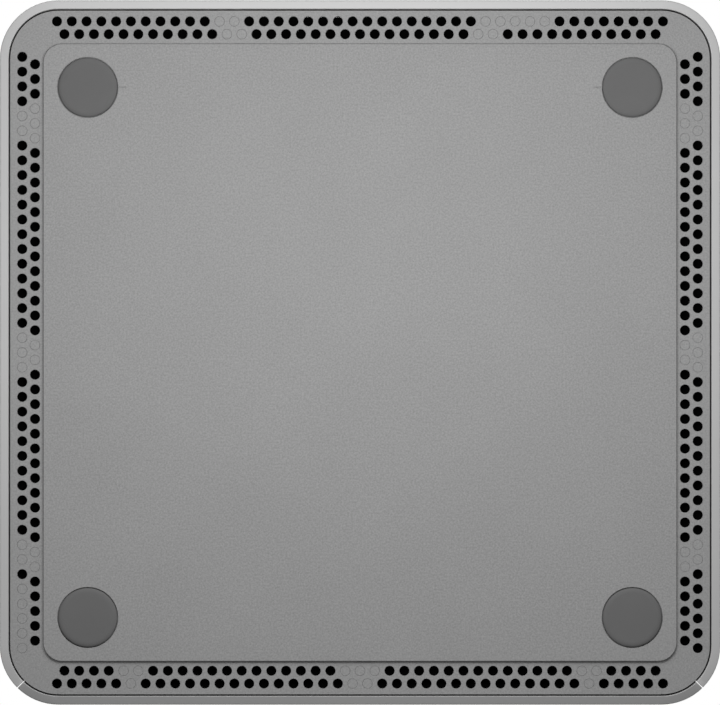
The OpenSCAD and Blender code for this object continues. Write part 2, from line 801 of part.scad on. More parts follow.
module memory_module(y, drop) {
    from = y + memory_socket_d / 2 - memory_depth + 0.3;
    color([0.08, 0.3, 0.16]) translate([0, from, board_z - drop]) union() {
        block([memory_w, memory_d, memory_t], [0, memory_d / 2, -memory_t / 2]);
        for (i = [-1.5:1.5]) block([11, 10, memory_t + 2 * chip_t],
            [i * 15.5, memory_d * 0.62, -memory_t / 2 - chip_t]);
    }
}

// A card edge socket: the card enters along +X and lies card_drop below the board
module card_socket() {
    difference() {
        block([card_socket_t, card_w, card_socket_h], [card_socket_t / 2, 0, -card_socket_h]);
        block([card_depth * 2, card_w - 1.6, card_t + 0.3],
            [0, 0, -card_drop - card_t - 0.15]);
    }
}

// A card that reaches l towards -X from its socket's mouth
module card(l) {
    difference() {
        union() {
            block([l, card_w, card_t], [-l / 2, 0, -card_drop - card_t]);
            block([card_depth + 0.5, card_w - 2.4, card_t],
                [card_depth / 2 - 0.45, 0, -card_drop - card_t]);
        }
        translate([-l, 0, -card_drop - card_t - 1]) cylinder(d = 3.5, h = card_t + 2);
    }
}

module drive_place() {
    translate([drive_end_x + drive_l, drive_y, board_z]) children();
}

module wireless_place() {
    translate([wireless_x, wireless_y, board_z]) rotate(-90) children();
}

module drive_socket() {
    color([0.15, 0.15, 0.16]) drive_place() card_socket();
}

module drive_card() {
    color([0.05, 0.2, 0.12]) drive_place() union() {
        card(drive_l);
        for (x = [-16, -38, -60]) block([15, 18, drive_chip_t],
            [x, 0, -card_drop - card_t - drive_chip_t]);
    }
}

module drive_pad() {
    color([0.6, 0.62, 0.66]) block([64, 19, pad_t], [drive_end_x + drive_l / 2 + 2, drive_y, pad_z]);
}

module drive_heat_sink() {
    color([0.25, 0.25, 0.26]) difference() {
        block([70, 21, drive_sink_t], [drive_end_x + drive_l / 2 + 2, drive_y, pad_z - drive_sink_t]);
        for (i = [-2:2]) block([80, 2, drive_sink_t - 1.2],
            [drive_end_x + drive_l / 2 + 2, drive_y + i * 4, pad_z - drive_sink_t - 0.2]);
    }
}

module wireless_socket() {
    color([0.15, 0.15, 0.16]) wireless_place() card_socket();
}

module wireless_card() {
    color([0.05, 0.2, 0.12]) wireless_place() union() {
        card(wireless_l);
        block([17, 16, aerial_h], [-18, 0, -card_drop - card_t - aerial_h]);
        for (x = aerial_x) translate([-aerial_l, x, -card_drop - card_t - aerial_h])
            cylinder(d = aerial_jack_d, h = aerial_h);
    }
}

module card_standoffs() {
    color([0.8, 0.68, 0.4]) for (p = card_ends) translate([p[0], p[1], board_z - card_drop])
        difference() {
            cylinder(d = 4.5, h = card_drop);
            translate([0, 0, -0.5]) cylinder(d = card_screw_d, h = card_drop);
        }
}

module card_screws() {
    color([0.75, 0.75, 0.75]) for (p = card_ends)
        translate([p[0], p[1], board_z - card_drop - card_t - screw_head_h + 0.6])
            difference() {
                union() {
                    cylinder(d = 5, h = screw_head_h - 0.6);
                    cylinder(d = card_screw_d - thread_clear, h = screw_head_h - 0.6 + card_t + 1.8);
                }
                for (a = [0, 90]) rotate(a) block([2.6, 0.6, 1.2], [0, 0, -0.6]);
            }
}

module antenna(s) {
    color([0.75, 0.6, 0.3]) block(antenna_size, [s * antenna_x, 0, floor_z]);
}

module left_antenna_lead() {
    color([0.15, 0.15, 0.15]) lead(left_lead_path, coax_d, [1, 0, 0]);
}

module right_antenna_lead() {
    color([0.85, 0.85, 0.85]) lead(right_lead_path, coax_d, [1, 0, 0]);
}

module coin_cell_holder() {
    outer = cell_d + 2 * holder_wall;
    color([0.13, 0.13, 0.13]) translate([cell_x, cell_y, board_z - cell_t - 1]) difference() {
        cylinder(d = outer, h = cell_t + 1);
        translate([0, 0, -1]) cylinder(d = cell_d + 0.3, h = cell_t + 1.2);
        block([8, outer + 2, 2.2], [0, 0, -0.2]);
    }
}

module coin_cell() {
    color([0.75, 0.75, 0.76]) translate([cell_x, cell_y, board_z - cell_t - 0.8])
        cylinder(d = cell_d, h = cell_t);
}

// ---- rear sockets ----

module power_socket() {
    color([0.08, 0.08, 0.08]) difference() {
        union() {
            bar_y(dc_size[0], dc_size[1] - wall + port_recess - body_gap, dc_size[2],
                [rear_x(0), rear_mouth - dc_size[1], board_top + dc_size[2] / 2]);
            disc_y(dc_hole_d + 1.7, dc_size[1], [rear_x(0), rear_mouth - dc_size[1],
                board_top + dc_axis_h]);
        }
        disc_y(dc_hole_d, dc_pin_l + 1, [rear_x(0), rear_mouth - dc_pin_l, board_top + dc_axis_h]);
    }
}

module power_socket_pin() {
    color([0.85, 0.85, 0.86]) disc_y(dc_pin_d, dc_pin_l - 0.6,
        [rear_x(0), rear_mouth - dc_pin_l, board_top + dc_axis_h]);
}

// Outline of a video socket, wide side up
module video_outline(w, h) {
    polygon([
        [-w / 2, h], [w / 2, h], [w / 2, h * 0.42], [w * 0.36, 0], [-w * 0.36, 0], [-w / 2, h * 0.42]
    ]);
}

module video_socket_shells() {
    color([0.75, 0.75, 0.76]) for (i = [1, 2])
        translate([rear_x(i), rear_mouth, board_top]) rotate([90, 0, 0]) difference() {
            linear_extrude(video_size[1]) video_outline(video_size[0], video_size[2]);
            translate([0, video_wall, -1]) linear_extrude(video_size[1] - 0.5)
                video_outline(video_size[0] - 2 * video_wall, video_size[2] - 2 * video_wall);
        }
}

module video_socket_tongues() {
    color([0.06, 0.06, 0.06]) for (i = [1, 2])
        bar_y(video_size[0] - 3, video_size[1] - 2.2, 1.5,
            [rear_x(i), rear_mouth - video_size[1] + 1.5, board_top + video_size[2] * 0.62]);
}

module network_socket() {
    h = network_size[2];
    color([0.7, 0.7, 0.71]) difference() {
        bar_y(network_size[0], network_size[1], h,
            [rear_x(3), rear_mouth - network_size[1], board_top + h / 2]);
        bar_y(network_hole[0], network_hole[1] + 1, network_hole[2],
            [rear_x(3), rear_mouth - network_hole[1], board_top + h - 1.2 - network_hole[2] / 2]);
        bar_y(6, network_hole[1] + 1, 2,
            [rear_x(3), rear_mouth - network_hole[1], board_top + h - 1.2 - network_hole[2] - 0.9]);
    }
}

module usb_hole(x, z, mouth, l, s) {
    from = s > 0 ? mouth - l : mouth - 1;
    bar_y(usb_w - 2 * usb_wall, l + 1, usb_hole_h, [x, from, z]);
}

module rear_usb_shells() {
    color([0.75, 0.75, 0.76]) for (i = [4, 5]) difference() {
        bar_y(usb_w, usb_pair_l, usb_pair_h,
            [rear_x(i), rear_mouth - usb_pair_l, board_top + usb_pair_h / 2]);
        for (k = [-0.5, 0.5]) usb_hole(rear_x(i), board_top + usb_pair_h / 2 + k * usb_step,
            rear_mouth, usb_pair_l - 2, 1);
    }
}

module rear_usb_tongues() {
    color([0.1, 0.3, 0.7]) for (i = [4, 5], k = [-0.5, 0.5])
        bar_y(usb_tongue[0], usb_pair_l - 3, usb_tongue[1], [rear_x(i), rear_mouth - usb_pair_l + 2,
            board_top + usb_pair_h / 2 + k * usb_step + usb_tongue_lift]);
}

// ---- front ----

module usb_c_outline(grow) {
    rounded(usb_c_size[0] + 2 * grow, usb_c_size[2] + 2 * grow, usb_c_size[2] / 2 + grow - eps);
}

module front_usb_shells() {
    color([0.75, 0.75, 0.76]) {
        for (x = front_usb_x) difference() {
            bar_y(usb_w, usb_single_l, usb_single_h,
                [x, front_mouth, board_top + usb_single_h / 2]);
            usb_hole(x, board_top + usb_single_h / 2, front_mouth, usb_single_l - 2, -1);
        }
        translate([usb_c_x, front_mouth + usb_c_size[1], board_top + usb_c_size[2] / 2])
            rotate([90, 0, 0]) difference() {
                linear_extrude(usb_c_size[1]) usb_c_outline(0);
                translate([0, 0, 0.8]) linear_extrude(usb_c_size[1]) usb_c_outline(-0.35);
            }
    }
}

module front_usb_tongues() {
    color([0.1, 0.3, 0.7]) {
        for (x = front_usb_x)
            bar_y(usb_tongue[0], usb_single_l - 3, usb_tongue[1],
                [x, front_mouth + 1, board_top + usb_single_h / 2 + usb_tongue_lift]);
        bar_y(6.7, usb_c_size[1] - 1.8, 0.7,
            [usb_c_x, front_mouth + 1, board_top + usb_c_size[2] / 2]);
    }
}

module headset_socket() {
    axis_z = board_top + audio_size[2] / 2;
    color([0.08, 0.08, 0.08]) difference() {
        union() {
            bar_y(audio_size[0], audio_size[1] - 1, audio_size[2], [audio_x, body_gap - wall_in_y, axis_z]);
            disc_y(audio_size[2] - 1.2, wall + 0.5, [audio_x, front_mouth, axis_z]);
        }
        disc_y(audio_hole_d, audio_size[1], [audio_x, front_mouth - 1, axis_z]);
    }
}

module power_button() {
    in_y = -wall_in_y;
    color([0.72, 0.72, 0.73]) union() {
        disc_y(button_d, wall + 0.6, [button_x, -case_d / 2, button_z]);
        disc_y(button_d + 2 * flange_extra, flange_t, [button_x, in_y + 0.1, button_z]);
        disc_y(stem_d, stem_end - in_y - 0.5, [button_x, in_y + 0.5, button_z]);
    }
}

module button_guide() {
    in_y = -wall_in_y;
    color([0.1, 0.1, 0.1]) difference() {
        disc_y(2 * (guide_r + guide_wall), guide_y + guide_t - in_y, [button_x, in_y, button_z]);
        disc_y(2 * guide_r, guide_y - in_y + 1, [button_x, in_y - 1, button_z]);
        disc_y(stem_d + 0.16, 2 * guide_t + 2, [button_x, guide_y - 1, button_z]);
    }
}

module button_switch() {
    color([0.2, 0.2, 0.21]) difference() {
        bar_y(switch_size[0], switch_size[1], switch_size[2],
            [button_x, switch_y, board_top + switch_size[2] / 2]);
        disc_y(plunger_d + 0.2, plunger_in + button_travel + 0.2 + 1,
            [button_x, switch_y - 1, button_z]);
    }
}

module switch_plunger() {
    color([0.9, 0.9, 0.88]) disc_y(plunger_d, plunger_out + plunger_in,
        [button_x, switch_y - plunger_out, button_z]);
}

module light_pipe() {
    color([0.9, 0.9, 0.95]) union() {
        disc_y(light_d, wall, [light_x, -case_d / 2 + 0.1, button_z]);
        disc_y(light_d + 2, 0.8, [light_x, -wall_in_y, button_z]);
    }
}

unibody_shell();
rear_panel();
bottom_cover();
foot(-post_x, -post_y);  // front_left_foot
foot(post_x, -post_y);  // front_right_foot
foot(-post_x, post_y);  // rear_left_foot
foot(post_x, post_y);  // rear_right_foot
cover_screws();
dust_filter();
main_board();
board_screws();
processor();
cold_plate();
heat_pipes();
heat_sink();
cooler_standoffs();
cooler_screws();
fan_housing();
fan_cover();
fan_motor();
fan_rotor();
fan_screws();
fan_header();
fan_plug();
fan_lead();
memory_socket(inner_memory_y, inner_drop);  // inner_memory_socket
memory_socket(memory_y, outer_drop);  // outer_memory_socket
memory_module(inner_memory_y, inner_drop);  // inner_memory_module
memory_module(memory_y, outer_drop);  // outer_memory_module
drive_socket();
drive_card();
drive_pad();
drive_heat_sink();
wireless_socket();
wireless_card();
card_standoffs();
card_screws();
antenna(-1);  // left_antenna
antenna(1);  // right_antenna
left_antenna_lead();
right_antenna_lead();
coin_cell_holder();
coin_cell();
power_socket();
power_socket_pin();
video_socket_shells();
video_socket_tongues();
network_socket();
rear_usb_shells();
rear_usb_tongues();
front_usb_shells();
front_usb_tongues();
headset_socket();
power_button();
button_guide();
button_switch();
switch_plunger();
light_pipe();
power_chokes();
capacitors();
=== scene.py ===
import bpy
import bmesh
import json
import math
from mathutils import Matrix, Vector


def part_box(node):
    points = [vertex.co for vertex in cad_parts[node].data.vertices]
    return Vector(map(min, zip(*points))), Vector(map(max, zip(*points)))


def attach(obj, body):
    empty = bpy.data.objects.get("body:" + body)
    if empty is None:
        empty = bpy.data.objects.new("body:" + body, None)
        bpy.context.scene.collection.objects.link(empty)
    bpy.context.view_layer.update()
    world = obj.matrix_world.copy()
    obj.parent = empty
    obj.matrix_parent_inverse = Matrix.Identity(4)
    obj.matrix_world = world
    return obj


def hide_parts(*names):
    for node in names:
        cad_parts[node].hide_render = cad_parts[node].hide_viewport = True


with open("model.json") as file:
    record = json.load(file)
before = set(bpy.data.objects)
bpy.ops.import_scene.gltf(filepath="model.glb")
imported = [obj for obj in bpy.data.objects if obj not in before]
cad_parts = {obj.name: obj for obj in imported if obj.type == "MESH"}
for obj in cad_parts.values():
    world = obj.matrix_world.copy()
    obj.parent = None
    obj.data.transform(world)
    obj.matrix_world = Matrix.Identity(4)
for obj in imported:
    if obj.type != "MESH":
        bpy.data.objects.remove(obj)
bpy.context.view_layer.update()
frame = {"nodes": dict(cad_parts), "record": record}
mm = 0.001   # lengths below are in millimetres and scaled once, when a piece is finished


# places that the pieces share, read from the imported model

def nodeBox(node):
    low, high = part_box(node)
    return low / mm, high / mm


shellLow, shellHigh = nodeBox("unibody_shell")
coverLow, coverHigh = nodeBox("bottom_cover")
footLow, footHigh = nodeBox("front_right_foot")
case = {
    "width": shellHigh.x - shellLow.x,
    "depth": -2 * shellLow.y,
    "top": shellHigh.z,
    "rim": shellLow.z,
    "corner": 11,
    "wall": 1.7,
    "topPlate": 2.2,
    "seam": 0.15,
}
boardTop = nodeBox("main_board")[1].z
footX = (footLow.x + footHigh.x) / 2
footY = -(footLow.y + footHigh.y) / 2


def linear(level):   # 0 to 255 steps to the light that a shader wants
    steps = level if isinstance(level, (tuple, list)) else (level,) * 3
    return tuple(v / 3294.6 if v <= 10.3 else ((v / 255 + 0.055) / 1.055) ** 2.4 for v in steps) + (1,)


# materials

def addNode(tree, kind, **inputs):
    node = tree.nodes.new(kind)
    for key, value in inputs.items():
        node.inputs[key.replace("_", " ")].default_value = value
    return node


def noiseOf(tree, where, size, detail=3, roughness=0.6):   # size of the spots in millimetres
    noise = addNode(tree, "ShaderNodeTexNoise", Scale=1 / (size * mm), Detail=detail, Roughness=roughness)
    tree.links.new(where, noise.inputs["Vector"])
    return noise.outputs["Fac"]


def spread(tree, value, low, high, toLow, toHigh):
    node = tree.nodes.new("ShaderNodeMapRange")
    for key, number in (("From Min", low), ("From Max", high), ("To Min", toLow), ("To Max", toHigh)):
        node.inputs[key].default_value = number
    tree.links.new(value, node.inputs["Value"])
    return node.outputs["Result"]


# one surface: a base colour with speckle and broad mottling, uneven gloss and worn edges
def finish(name, look):
    material = bpy.data.materials.new(name)
    material.use_nodes = True
    tree = material.node_tree
    shader = tree.nodes["Principled BSDF"]
    shader.inputs["Metallic"].default_value = look.get("metal", 0)
    shader.inputs["IOR"].default_value = look.get("ior", 1.45)
    shader.inputs["Specular IOR Level"].default_value = look.get("specular", 0.5)
    if "clear" in look:
        shader.inputs["Transmission Weight"].default_value = look["clear"]
    if "coat" in look:
        shader.inputs["Coat Weight"].default_value = look["coat"]
        shader.inputs["Coat Roughness"].default_value = look.get("coatRough", 0.15)
    where = tree.nodes.new("ShaderNodeTexCoord").outputs["Object"]
    if "stretch" in look:
        mapping = addNode(tree, "ShaderNodeMapping", Scale=look["stretch"])
        tree.links.new(where, mapping.inputs["Vector"])
        where = mapping.outputs["Vector"]
    grain = noiseOf(tree, where, look.get("grain", 0.5), 4, 0.7)
    broad = noiseOf(tree, where, look.get("broad", 14), 2, 0.5)
    colour = linear(look["colour"])
    depth = look.get("speckle", 0.08)
    tint = spread(tree, grain, 0.25, 0.75, 1 - depth, 1 + depth)
    mottle = look.get("mottle", 0.03)
    wide = spread(tree, broad, 0.3, 0.7, 1 - mottle, 1 + mottle)
    both = tree.nodes.new("ShaderNodeMath")
    both.operation = "MULTIPLY"
    tree.links.new(tint, both.inputs[0])
    tree.links.new(wide, both.inputs[1])
    scaled = tree.nodes.new("ShaderNodeVectorMath")
    scaled.operation = "SCALE"
    scaled.inputs[0].default_value = colour[:3]
    tree.links.new(both.outputs[0], scaled.inputs["Scale"])
    result = scaled.outputs["Vector"]
    if "worn" in look:   # edges a shade lighter, where handling polishes them
        point = tree.nodes.new("ShaderNodeNewGeometry").outputs["Pointiness"]
        edge = spread(tree, point, 0.52, 0.6, 0, look.get("wornBy", 0.5))
        mix = tree.nodes.new("ShaderNodeMix")
        mix.data_type = "RGBA"
        tree.links.new(edge, mix.inputs["Factor"])
        tree.links.new(result, mix.inputs["A"])
        mix.inputs["B"].default_value = linear(look["worn"])
        result = mix.outputs["Result"]
    tree.links.new(result, shader.inputs["Base Color"])
    gloss = look["rough"]
    tree.links.new(spread(tree, grain, 0.3, 0.7, gloss[0], gloss[1]), shader.inputs["Roughness"])
    if look.get("bump", 0) > 0:
        height = look.get("bumpHeight", 0.02) * mm
        bump = addNode(tree, "ShaderNodeBump", Strength=look["bump"], Distance=height)
        tree.links.new(grain, bump.inputs["Height"])
        tree.links.new(bump.outputs["Normal"], shader.inputs["Normal"])
    return material


looks = {
    "shellMetal": {"colour": 199, "metal": 1, "rough": (0.64, 0.72), "grain": 0.12, "speckle": 0.03,
                   "bump": 0.25, "bumpHeight": 0.01, "mottle": 0.01, "worn": 225, "wornBy": 0.4},
    "panelMetal": {"colour": 172, "metal": 1, "rough": (0.56, 0.64), "grain": 0.12, "speckle": 0.03,
                   "bump": 0.25, "bumpHeight": 0.01, "mottle": 0.01, "worn": 220, "wornBy": 0.4},
    "coverPlastic": {"colour": 147, "rough": (0.5, 0.66), "grain": 0.34, "speckle": 0.26, "bump": 0.35,
                     "bumpHeight": 0.03, "mottle": 0.02, "broad": 20, "specular": 0.4},
    "footRubber": {"colour": 104, "rough": (0.75, 0.9), "grain": 0.3, "speckle": 0.03, "bump": 0.15,
                   "specular": 0.25},
    "blackPlastic": {"colour": 26, "rough": (0.45, 0.6), "grain": 0.25, "speckle": 0.12, "bump": 0.2,
                     "worn": 60, "wornBy": 0.5},
    # the dust filter: near-black, much darker than the filter's own black, as painted shade that makes the
    # vent holes read black
    "filterMesh": {"colour": 6, "rough": (0.9, 1.0), "grain": 0.2, "speckle": 0.4, "bump": 0.3,
                   "specular": 0.0},
    "darkSteel": {"colour": 45, "metal": 1, "rough": (0.35, 0.5), "grain": 0.2, "speckle": 0.1,
                  "bump": 0.1, "worn": 150, "wornBy": 0.7},
    "plainSteel": {"colour": 190, "metal": 1, "rough": (0.25, 0.38), "grain": 0.3, "speckle": 0.05,
                   "bump": 0.08, "worn": 230, "wornBy": 0.5},
    "boardLaminate": {"colour": (14, 44, 34), "rough": (0.25, 0.38), "grain": 0.4, "speckle": 0.15,
                      "mottle": 0.1, "bump": 0.1, "coat": 0.4},
    "moduleLaminate": {"colour": (18, 78, 48), "rough": (0.25, 0.38), "grain": 0.4, "speckle": 0.15,
                       "mottle": 0.1, "bump": 0.1, "coat": 0.4},
    "copper": {"colour": (214, 138, 104), "metal": 1, "rough": (0.22, 0.4), "grain": 0.5,
               "stretch": (0.2, 1, 1), "speckle": 0.08, "mottle": 0.08, "bump": 0.12},
    "sinkMetal": {"colour": 200, "metal": 1, "rough": (0.28, 0.42), "grain": 0.3, "stretch": (1, 0.1, 1),
                  "speckle": 0.05, "bump": 0.15},
    "brass": {"colour": (222, 186, 112), "metal": 1, "rough": (0.22, 0.36), "grain": 0.3, "speckle": 0.06,
              "bump": 0.1, "worn": (240, 215, 150)},
    "creamPlastic": {"colour": (232, 224, 200), "rough": (0.35, 0.5), "grain": 0.3, "speckle": 0.04,
                     "bump": 0.12},
    "bluePlastic": {"colour": (36, 92, 178), "rough": (0.3, 0.42), "grain": 0.3, "speckle": 0.06,
                    "bump": 0.1},
    "chipPlastic": {"colour": 38, "rough": (0.5, 0.65), "grain": 0.15, "speckle": 0.15, "bump": 0.25},
    "blackSheath": {"colour": 24, "rough": (0.4, 0.55), "grain": 0.4, "speckle": 0.08, "bump": 0.15},
    "greySheath": {"colour": 150, "rough": (0.4, 0.55), "grain": 0.4, "speckle": 0.05, "bump": 0.15},
    "softPad": {"colour": (150, 156, 172), "rough": (0.7, 0.85), "grain": 0.3, "speckle": 0.08, "bump": 0.3},
    "portSteel": {"colour": 198, "metal": 1, "rough": (0.16, 0.3), "grain": 0.4, "stretch": (1, 0.2, 1),
                  "speckle": 0.04, "bump": 0.08, "worn": 235, "wornBy": 0.4},
    "clearPlastic": {"colour": 235, "rough": (0.08, 0.16), "clear": 0.9, "grain": 0.4, "speckle": 0.02,
                     "bump": 0.03},
    "canMetal": {"colour": 200, "metal": 1, "rough": (0.3, 0.42), "grain": 0.3, "stretch": (1, 1, 0.2),
                 "speckle": 0.05, "bump": 0.1},
    "flexFoil": {"colour": (196, 150, 70), "rough": (0.3, 0.45), "grain": 0.5, "speckle": 0.1, "bump": 0.1,
                 "coat": 0.3},
}
paint = {name: finish(name, look) for name, look in looks.items()}
slotPaint = {
    "shell_metal": "shellMetal", "panel_metal": "panelMetal", "cover_plastic": "coverPlastic",
    "foot_rubber": "footRubber", "dark_steel": "darkSteel", "plain_steel": "plainSteel",
    "filter_mesh": "filterMesh", "board_laminate": "boardLaminate", "module_laminate": "moduleLaminate",
    "copper": "copper", "sink_aluminium": "sinkMetal", "brass": "brass", "black_plastic": "blackPlastic",
    "cream_plastic": "creamPlastic", "blue_plastic": "bluePlastic", "chip_plastic": "chipPlastic",
    "black_sheath": "blackSheath", "grey_sheath": "greySheath", "pad": "softPad",
    "port_steel": "portSteel", "clear_plastic": "clearPlastic", "can_aluminium": "canMetal",
    "flex_foil": "flexFoil",
}
slotOf = {s["node"]: s["material_slot"] for s in frame["record"]["subparts"]}
bodyOf = {n: body for body, names in frame["record"]["behaviour"]["bodies"].items() for n in names}
for node, thing in frame["nodes"].items():
    thing.data.materials.clear()
    thing.data.materials.append(paint[slotPaint[slotOf[node]]])
print("materials ready:", len(paint))


# mesh helpers

def place(x, y, z):
    return Matrix.Translation((x, y, z))


def unique(things):   # each once, in order, so that every run builds the same mesh
    return list(dict.fromkeys(things))


def vertsOf(result):
    return [g for g in result["geom"] if isinstance(g, bmesh.types.BMVert)]


def islands(node):   # the boxes of a node's separate solids, from left to right
    bm = bmesh.new()
    bm.from_mesh(frame["nodes"][node].data)
    bmesh.ops.remove_doubles(bm, verts=bm.verts, dist=1e-6)
    left = set(bm.verts)
    boxes = []
    while left:
        stack = [left.pop()]
        group = []
        while stack:
            vert = stack.pop()
            group.append(vert.co / mm)
            near = {e.other_vert(vert) for e in vert.link_edges} & left
            left -= near
            stack.extend(near)
        low = Vector([min(co[i] for co in group) for i in range(3)])
        high = Vector([max(co[i] for co in group) for i in range(3)])
        boxes.append((low, high))
    bm.free()
    return sorted(boxes, key=lambda pair: (round(pair[0].x, 2), pair[0].z))


def finishPiece(name, bm, node, *others, sharp=35, flat=True):   # node gives the body and the finish
    bmesh.ops.scale(bm, vec=(mm, mm, mm), verts=bm.verts)
    mesh = bpy.data.meshes.new(name)
    bm.to_mesh(mesh)
    bm.free()
    mesh.shade_smooth()
    mesh.set_sharp_from_angle(angle=math.radians(sharp))
    mesh.materials.append(paint[slotPaint[slotOf[node]]])
    piece = bpy.data.objects.new(name, mesh)
    bpy.context.scene.collection.objects.link(piece)
    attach(piece, bodyOf[node])
    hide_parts(node, *others)
    if flat:
        keepFlat(piece)
    return piece


def keepFlat(piece):   # large flat faces keep their own shading beside small bevels
    weighted = piece.modifiers.new("flat", "WEIGHTED_NORMAL")
    weighted.keep_sharp = True
    weighted.weight = 100
    bakeModifiers(piece)


def bakeModifiers(piece):
    graph = bpy.context.evaluated_depsgraph_get()
    shaped = bpy.data.meshes.new_from_object(piece.evaluated_get(graph))
    plain = piece.data
    piece.modifiers.clear()
    piece.data = shaped
    bpy.data.meshes.remove(plain)


def cutter(bm):
    mesh = bpy.data.meshes.new("cutter")
    bmesh.ops.scale(bm, vec=(mm, mm, mm), verts=bm.verts)
    bm.to_mesh(mesh)
    bm.free()
    thing = bpy.data.objects.new("cutter", mesh)
    bpy.context.scene.collection.objects.link(thing)
    return thing


def cut(piece, bm, operation="DIFFERENCE"):
    tool = cutter(bm)
    modifier = piece.modifiers.new("cut", "BOOLEAN")
    modifier.operation = operation
    modifier.object = tool
    modifier.solver = "EXACT"
    bakeModifiers(piece)
    mesh = tool.data
    bpy.data.objects.remove(tool)
    bpy.data.meshes.remove(mesh)


def easeEdges(piece, width, segments=2, angle=35):
    bevel = piece.modifiers.new("edges", "BEVEL")
    bevel.width = width * mm
    bevel.segments = segments
    bevel.limit_method = "ANGLE"
    bevel.angle_limit = math.radians(angle)
    bevel.harden_normals = True
    bakeModifiers(piece)


def addShells(piece, posts):   # joins posts and other closed shells to a piece
    bmesh.ops.scale(posts, vec=(mm, mm, mm), verts=posts.verts)
    extra = bpy.data.meshes.new("shells")
    posts.to_mesh(extra)
    posts.free()
    extra.shade_smooth()
    extra.set_sharp_from_angle(angle=math.radians(35))
    whole = bmesh.new()
    whole.from_mesh(piece.data)
    whole.from_mesh(extra)
    whole.to_mesh(piece.data)
    whole.free()
    bpy.data.meshes.remove(extra)


def copyOf(node):   # a node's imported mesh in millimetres, with its flat faces made whole
    bm = bmesh.new()
    bm.from_mesh(frame["nodes"][node].data)
    bmesh.ops.scale(bm, vec=(1 / mm, 1 / mm, 1 / mm), verts=bm.verts)
    bmesh.ops.remove_doubles(bm, verts=bm.verts, dist=0.001)
    bmesh.ops.dissolve_limit(bm, angle_limit=math.radians(0.5), verts=bm.verts, edges=bm.edges)
    return bm


def camel(node):
    first, *rest = node.split("_")
    return first + "".join(word.capitalize() for word in rest)


def refine(node, edge, more=None, segments=2, sharp=35):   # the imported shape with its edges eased
    piece = finishPiece(camel(node), copyOf(node), node, sharp=sharp, flat=False)
    if edge:
        easeEdges(piece, edge, segments)
    if more is not None:
        addShells(piece, more)
    keepFlat(piece)
    return piece


# a detail in a finish of its own, beside a piece that stands for a node
def trim(name, bm, body, slot, sharp=35):
    bmesh.ops.scale(bm, vec=(mm, mm, mm), verts=bm.verts)
    mesh = bpy.data.meshes.new(name)
    bm.to_mesh(mesh)
    bm.free()
    mesh.shade_smooth()
    mesh.set_sharp_from_angle(angle=math.radians(sharp))
    mesh.materials.append(paint[slotPaint[slot]])
    piece = bpy.data.objects.new(name, mesh)
    bpy.context.scene.collection.objects.link(piece)
    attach(piece, body)
    keepFlat(piece)
    return piece


def easedBox(bm, size, middle, edge=0.1, segments=1):
    verts = addBox(bm, size, middle)
    bevelEdges(bm, unique(e for v in verts for e in v.link_edges), edge, segments)


def lathe(bm, profile, middle, axis, segments=48):   # turns (radius, along) points about a line along Y or Z
    along = Vector((0, 1, 0)) if axis == "Y" else Vector((0, 0, 1))
    verts = [bm.verts.new(Vector(middle) + Vector((r, 0, 0)) + along * a) for r, a in profile]
    edges = [bm.edges.new(pair) for pair in zip(verts, verts[1:])]
    before = set(bm.verts) - set(verts)
    bmesh.ops.spin(bm, geom=verts + edges, cent=middle, axis=along, angle=2 * math.pi, steps=segments,
                   use_merge=True)
    bmesh.ops.remove_doubles(bm, verts=[v for v in bm.verts if v not in before], dist=1e-4)
    made = [v for v in bm.verts if v not in before]
    bmesh.ops.recalc_face_normals(bm, faces=unique(f for v in made for f in v.link_faces))


def arc(radius, middle, start, end, steps=6):   # points on a quarter turn or less, as (radius, along)
    turns = [math.radians(start + (end - start) * i / steps) for i in range(steps + 1)]
    return [(middle[0] + radius * math.cos(t), middle[1] + radius * math.sin(t)) for t in turns]


def addBox(bm, size, middle):
    made = bmesh.ops.create_cube(bm, size=1, matrix=place(*middle) @ Matrix.Diagonal((*size, 1)))
    return made["verts"]


def addRod(bm, radius, length, middle, axis="Z", segments=32, radiusTop=None):
    turn = {"X": Matrix.Rotation(math.pi / 2, 4, "Y"), "Y": Matrix.Rotation(-math.pi / 2, 4, "X"),
            "Z": Matrix.Identity(4)}[axis]
    made = bmesh.ops.create_cone(bm, cap_ends=True, segments=segments, radius1=radius,
                                 radius2=radius if radiusTop is None else radiusTop, depth=length,
                                 matrix=place(*middle) @ turn)
    return made["verts"]


def bevelEdges(bm, edges, width, segments=2):
    return bmesh.ops.bevel(bm, geom=edges, offset=width, offset_type="OFFSET", segments=segments,
                           profile=0.5, affect="EDGES", material=-1, clamp_overlap=True)


def edgesAt(bm, z):   # edges lying flat at height z, between faces that meet at an angle
    found = []
    for edge in bm.edges:
        if all(abs(v.co.z - z) < 1e-4 for v in edge.verts) and len(edge.link_faces) == 2:
            if edge.calc_face_angle(0) > 0.6:
                found.append(edge)
    return found


def ringLoop(bm, x, y, z, radius, sides):
    made = bmesh.ops.create_circle(bm, cap_ends=False, radius=radius, segments=sides, matrix=place(x, y, z))
    return unique(e for v in made["verts"] for e in v.link_edges)


# a closed loop of edges: a rectangle with rounded corners
def roundedLoop(bm, width, depth, radius, z, segments=16):
    made = bmesh.ops.create_grid(bm, x_segments=1, y_segments=1, size=0.5,
                                 matrix=place(0, 0, z) @ Matrix.Diagonal((width, depth, 1, 1)))
    before = set(bm.verts) - set(made["verts"])
    bmesh.ops.bevel(bm, geom=made["verts"], offset=radius, offset_type="OFFSET", segments=segments,
                    profile=0.5, affect="VERTICES", material=-1)
    mine = [v for v in bm.verts if v not in before]
    faces = unique(f for v in mine for f in v.link_faces)
    bmesh.ops.delete(bm, geom=list(faces), context="FACES_ONLY")
    return unique(e for v in mine for e in v.link_edges)


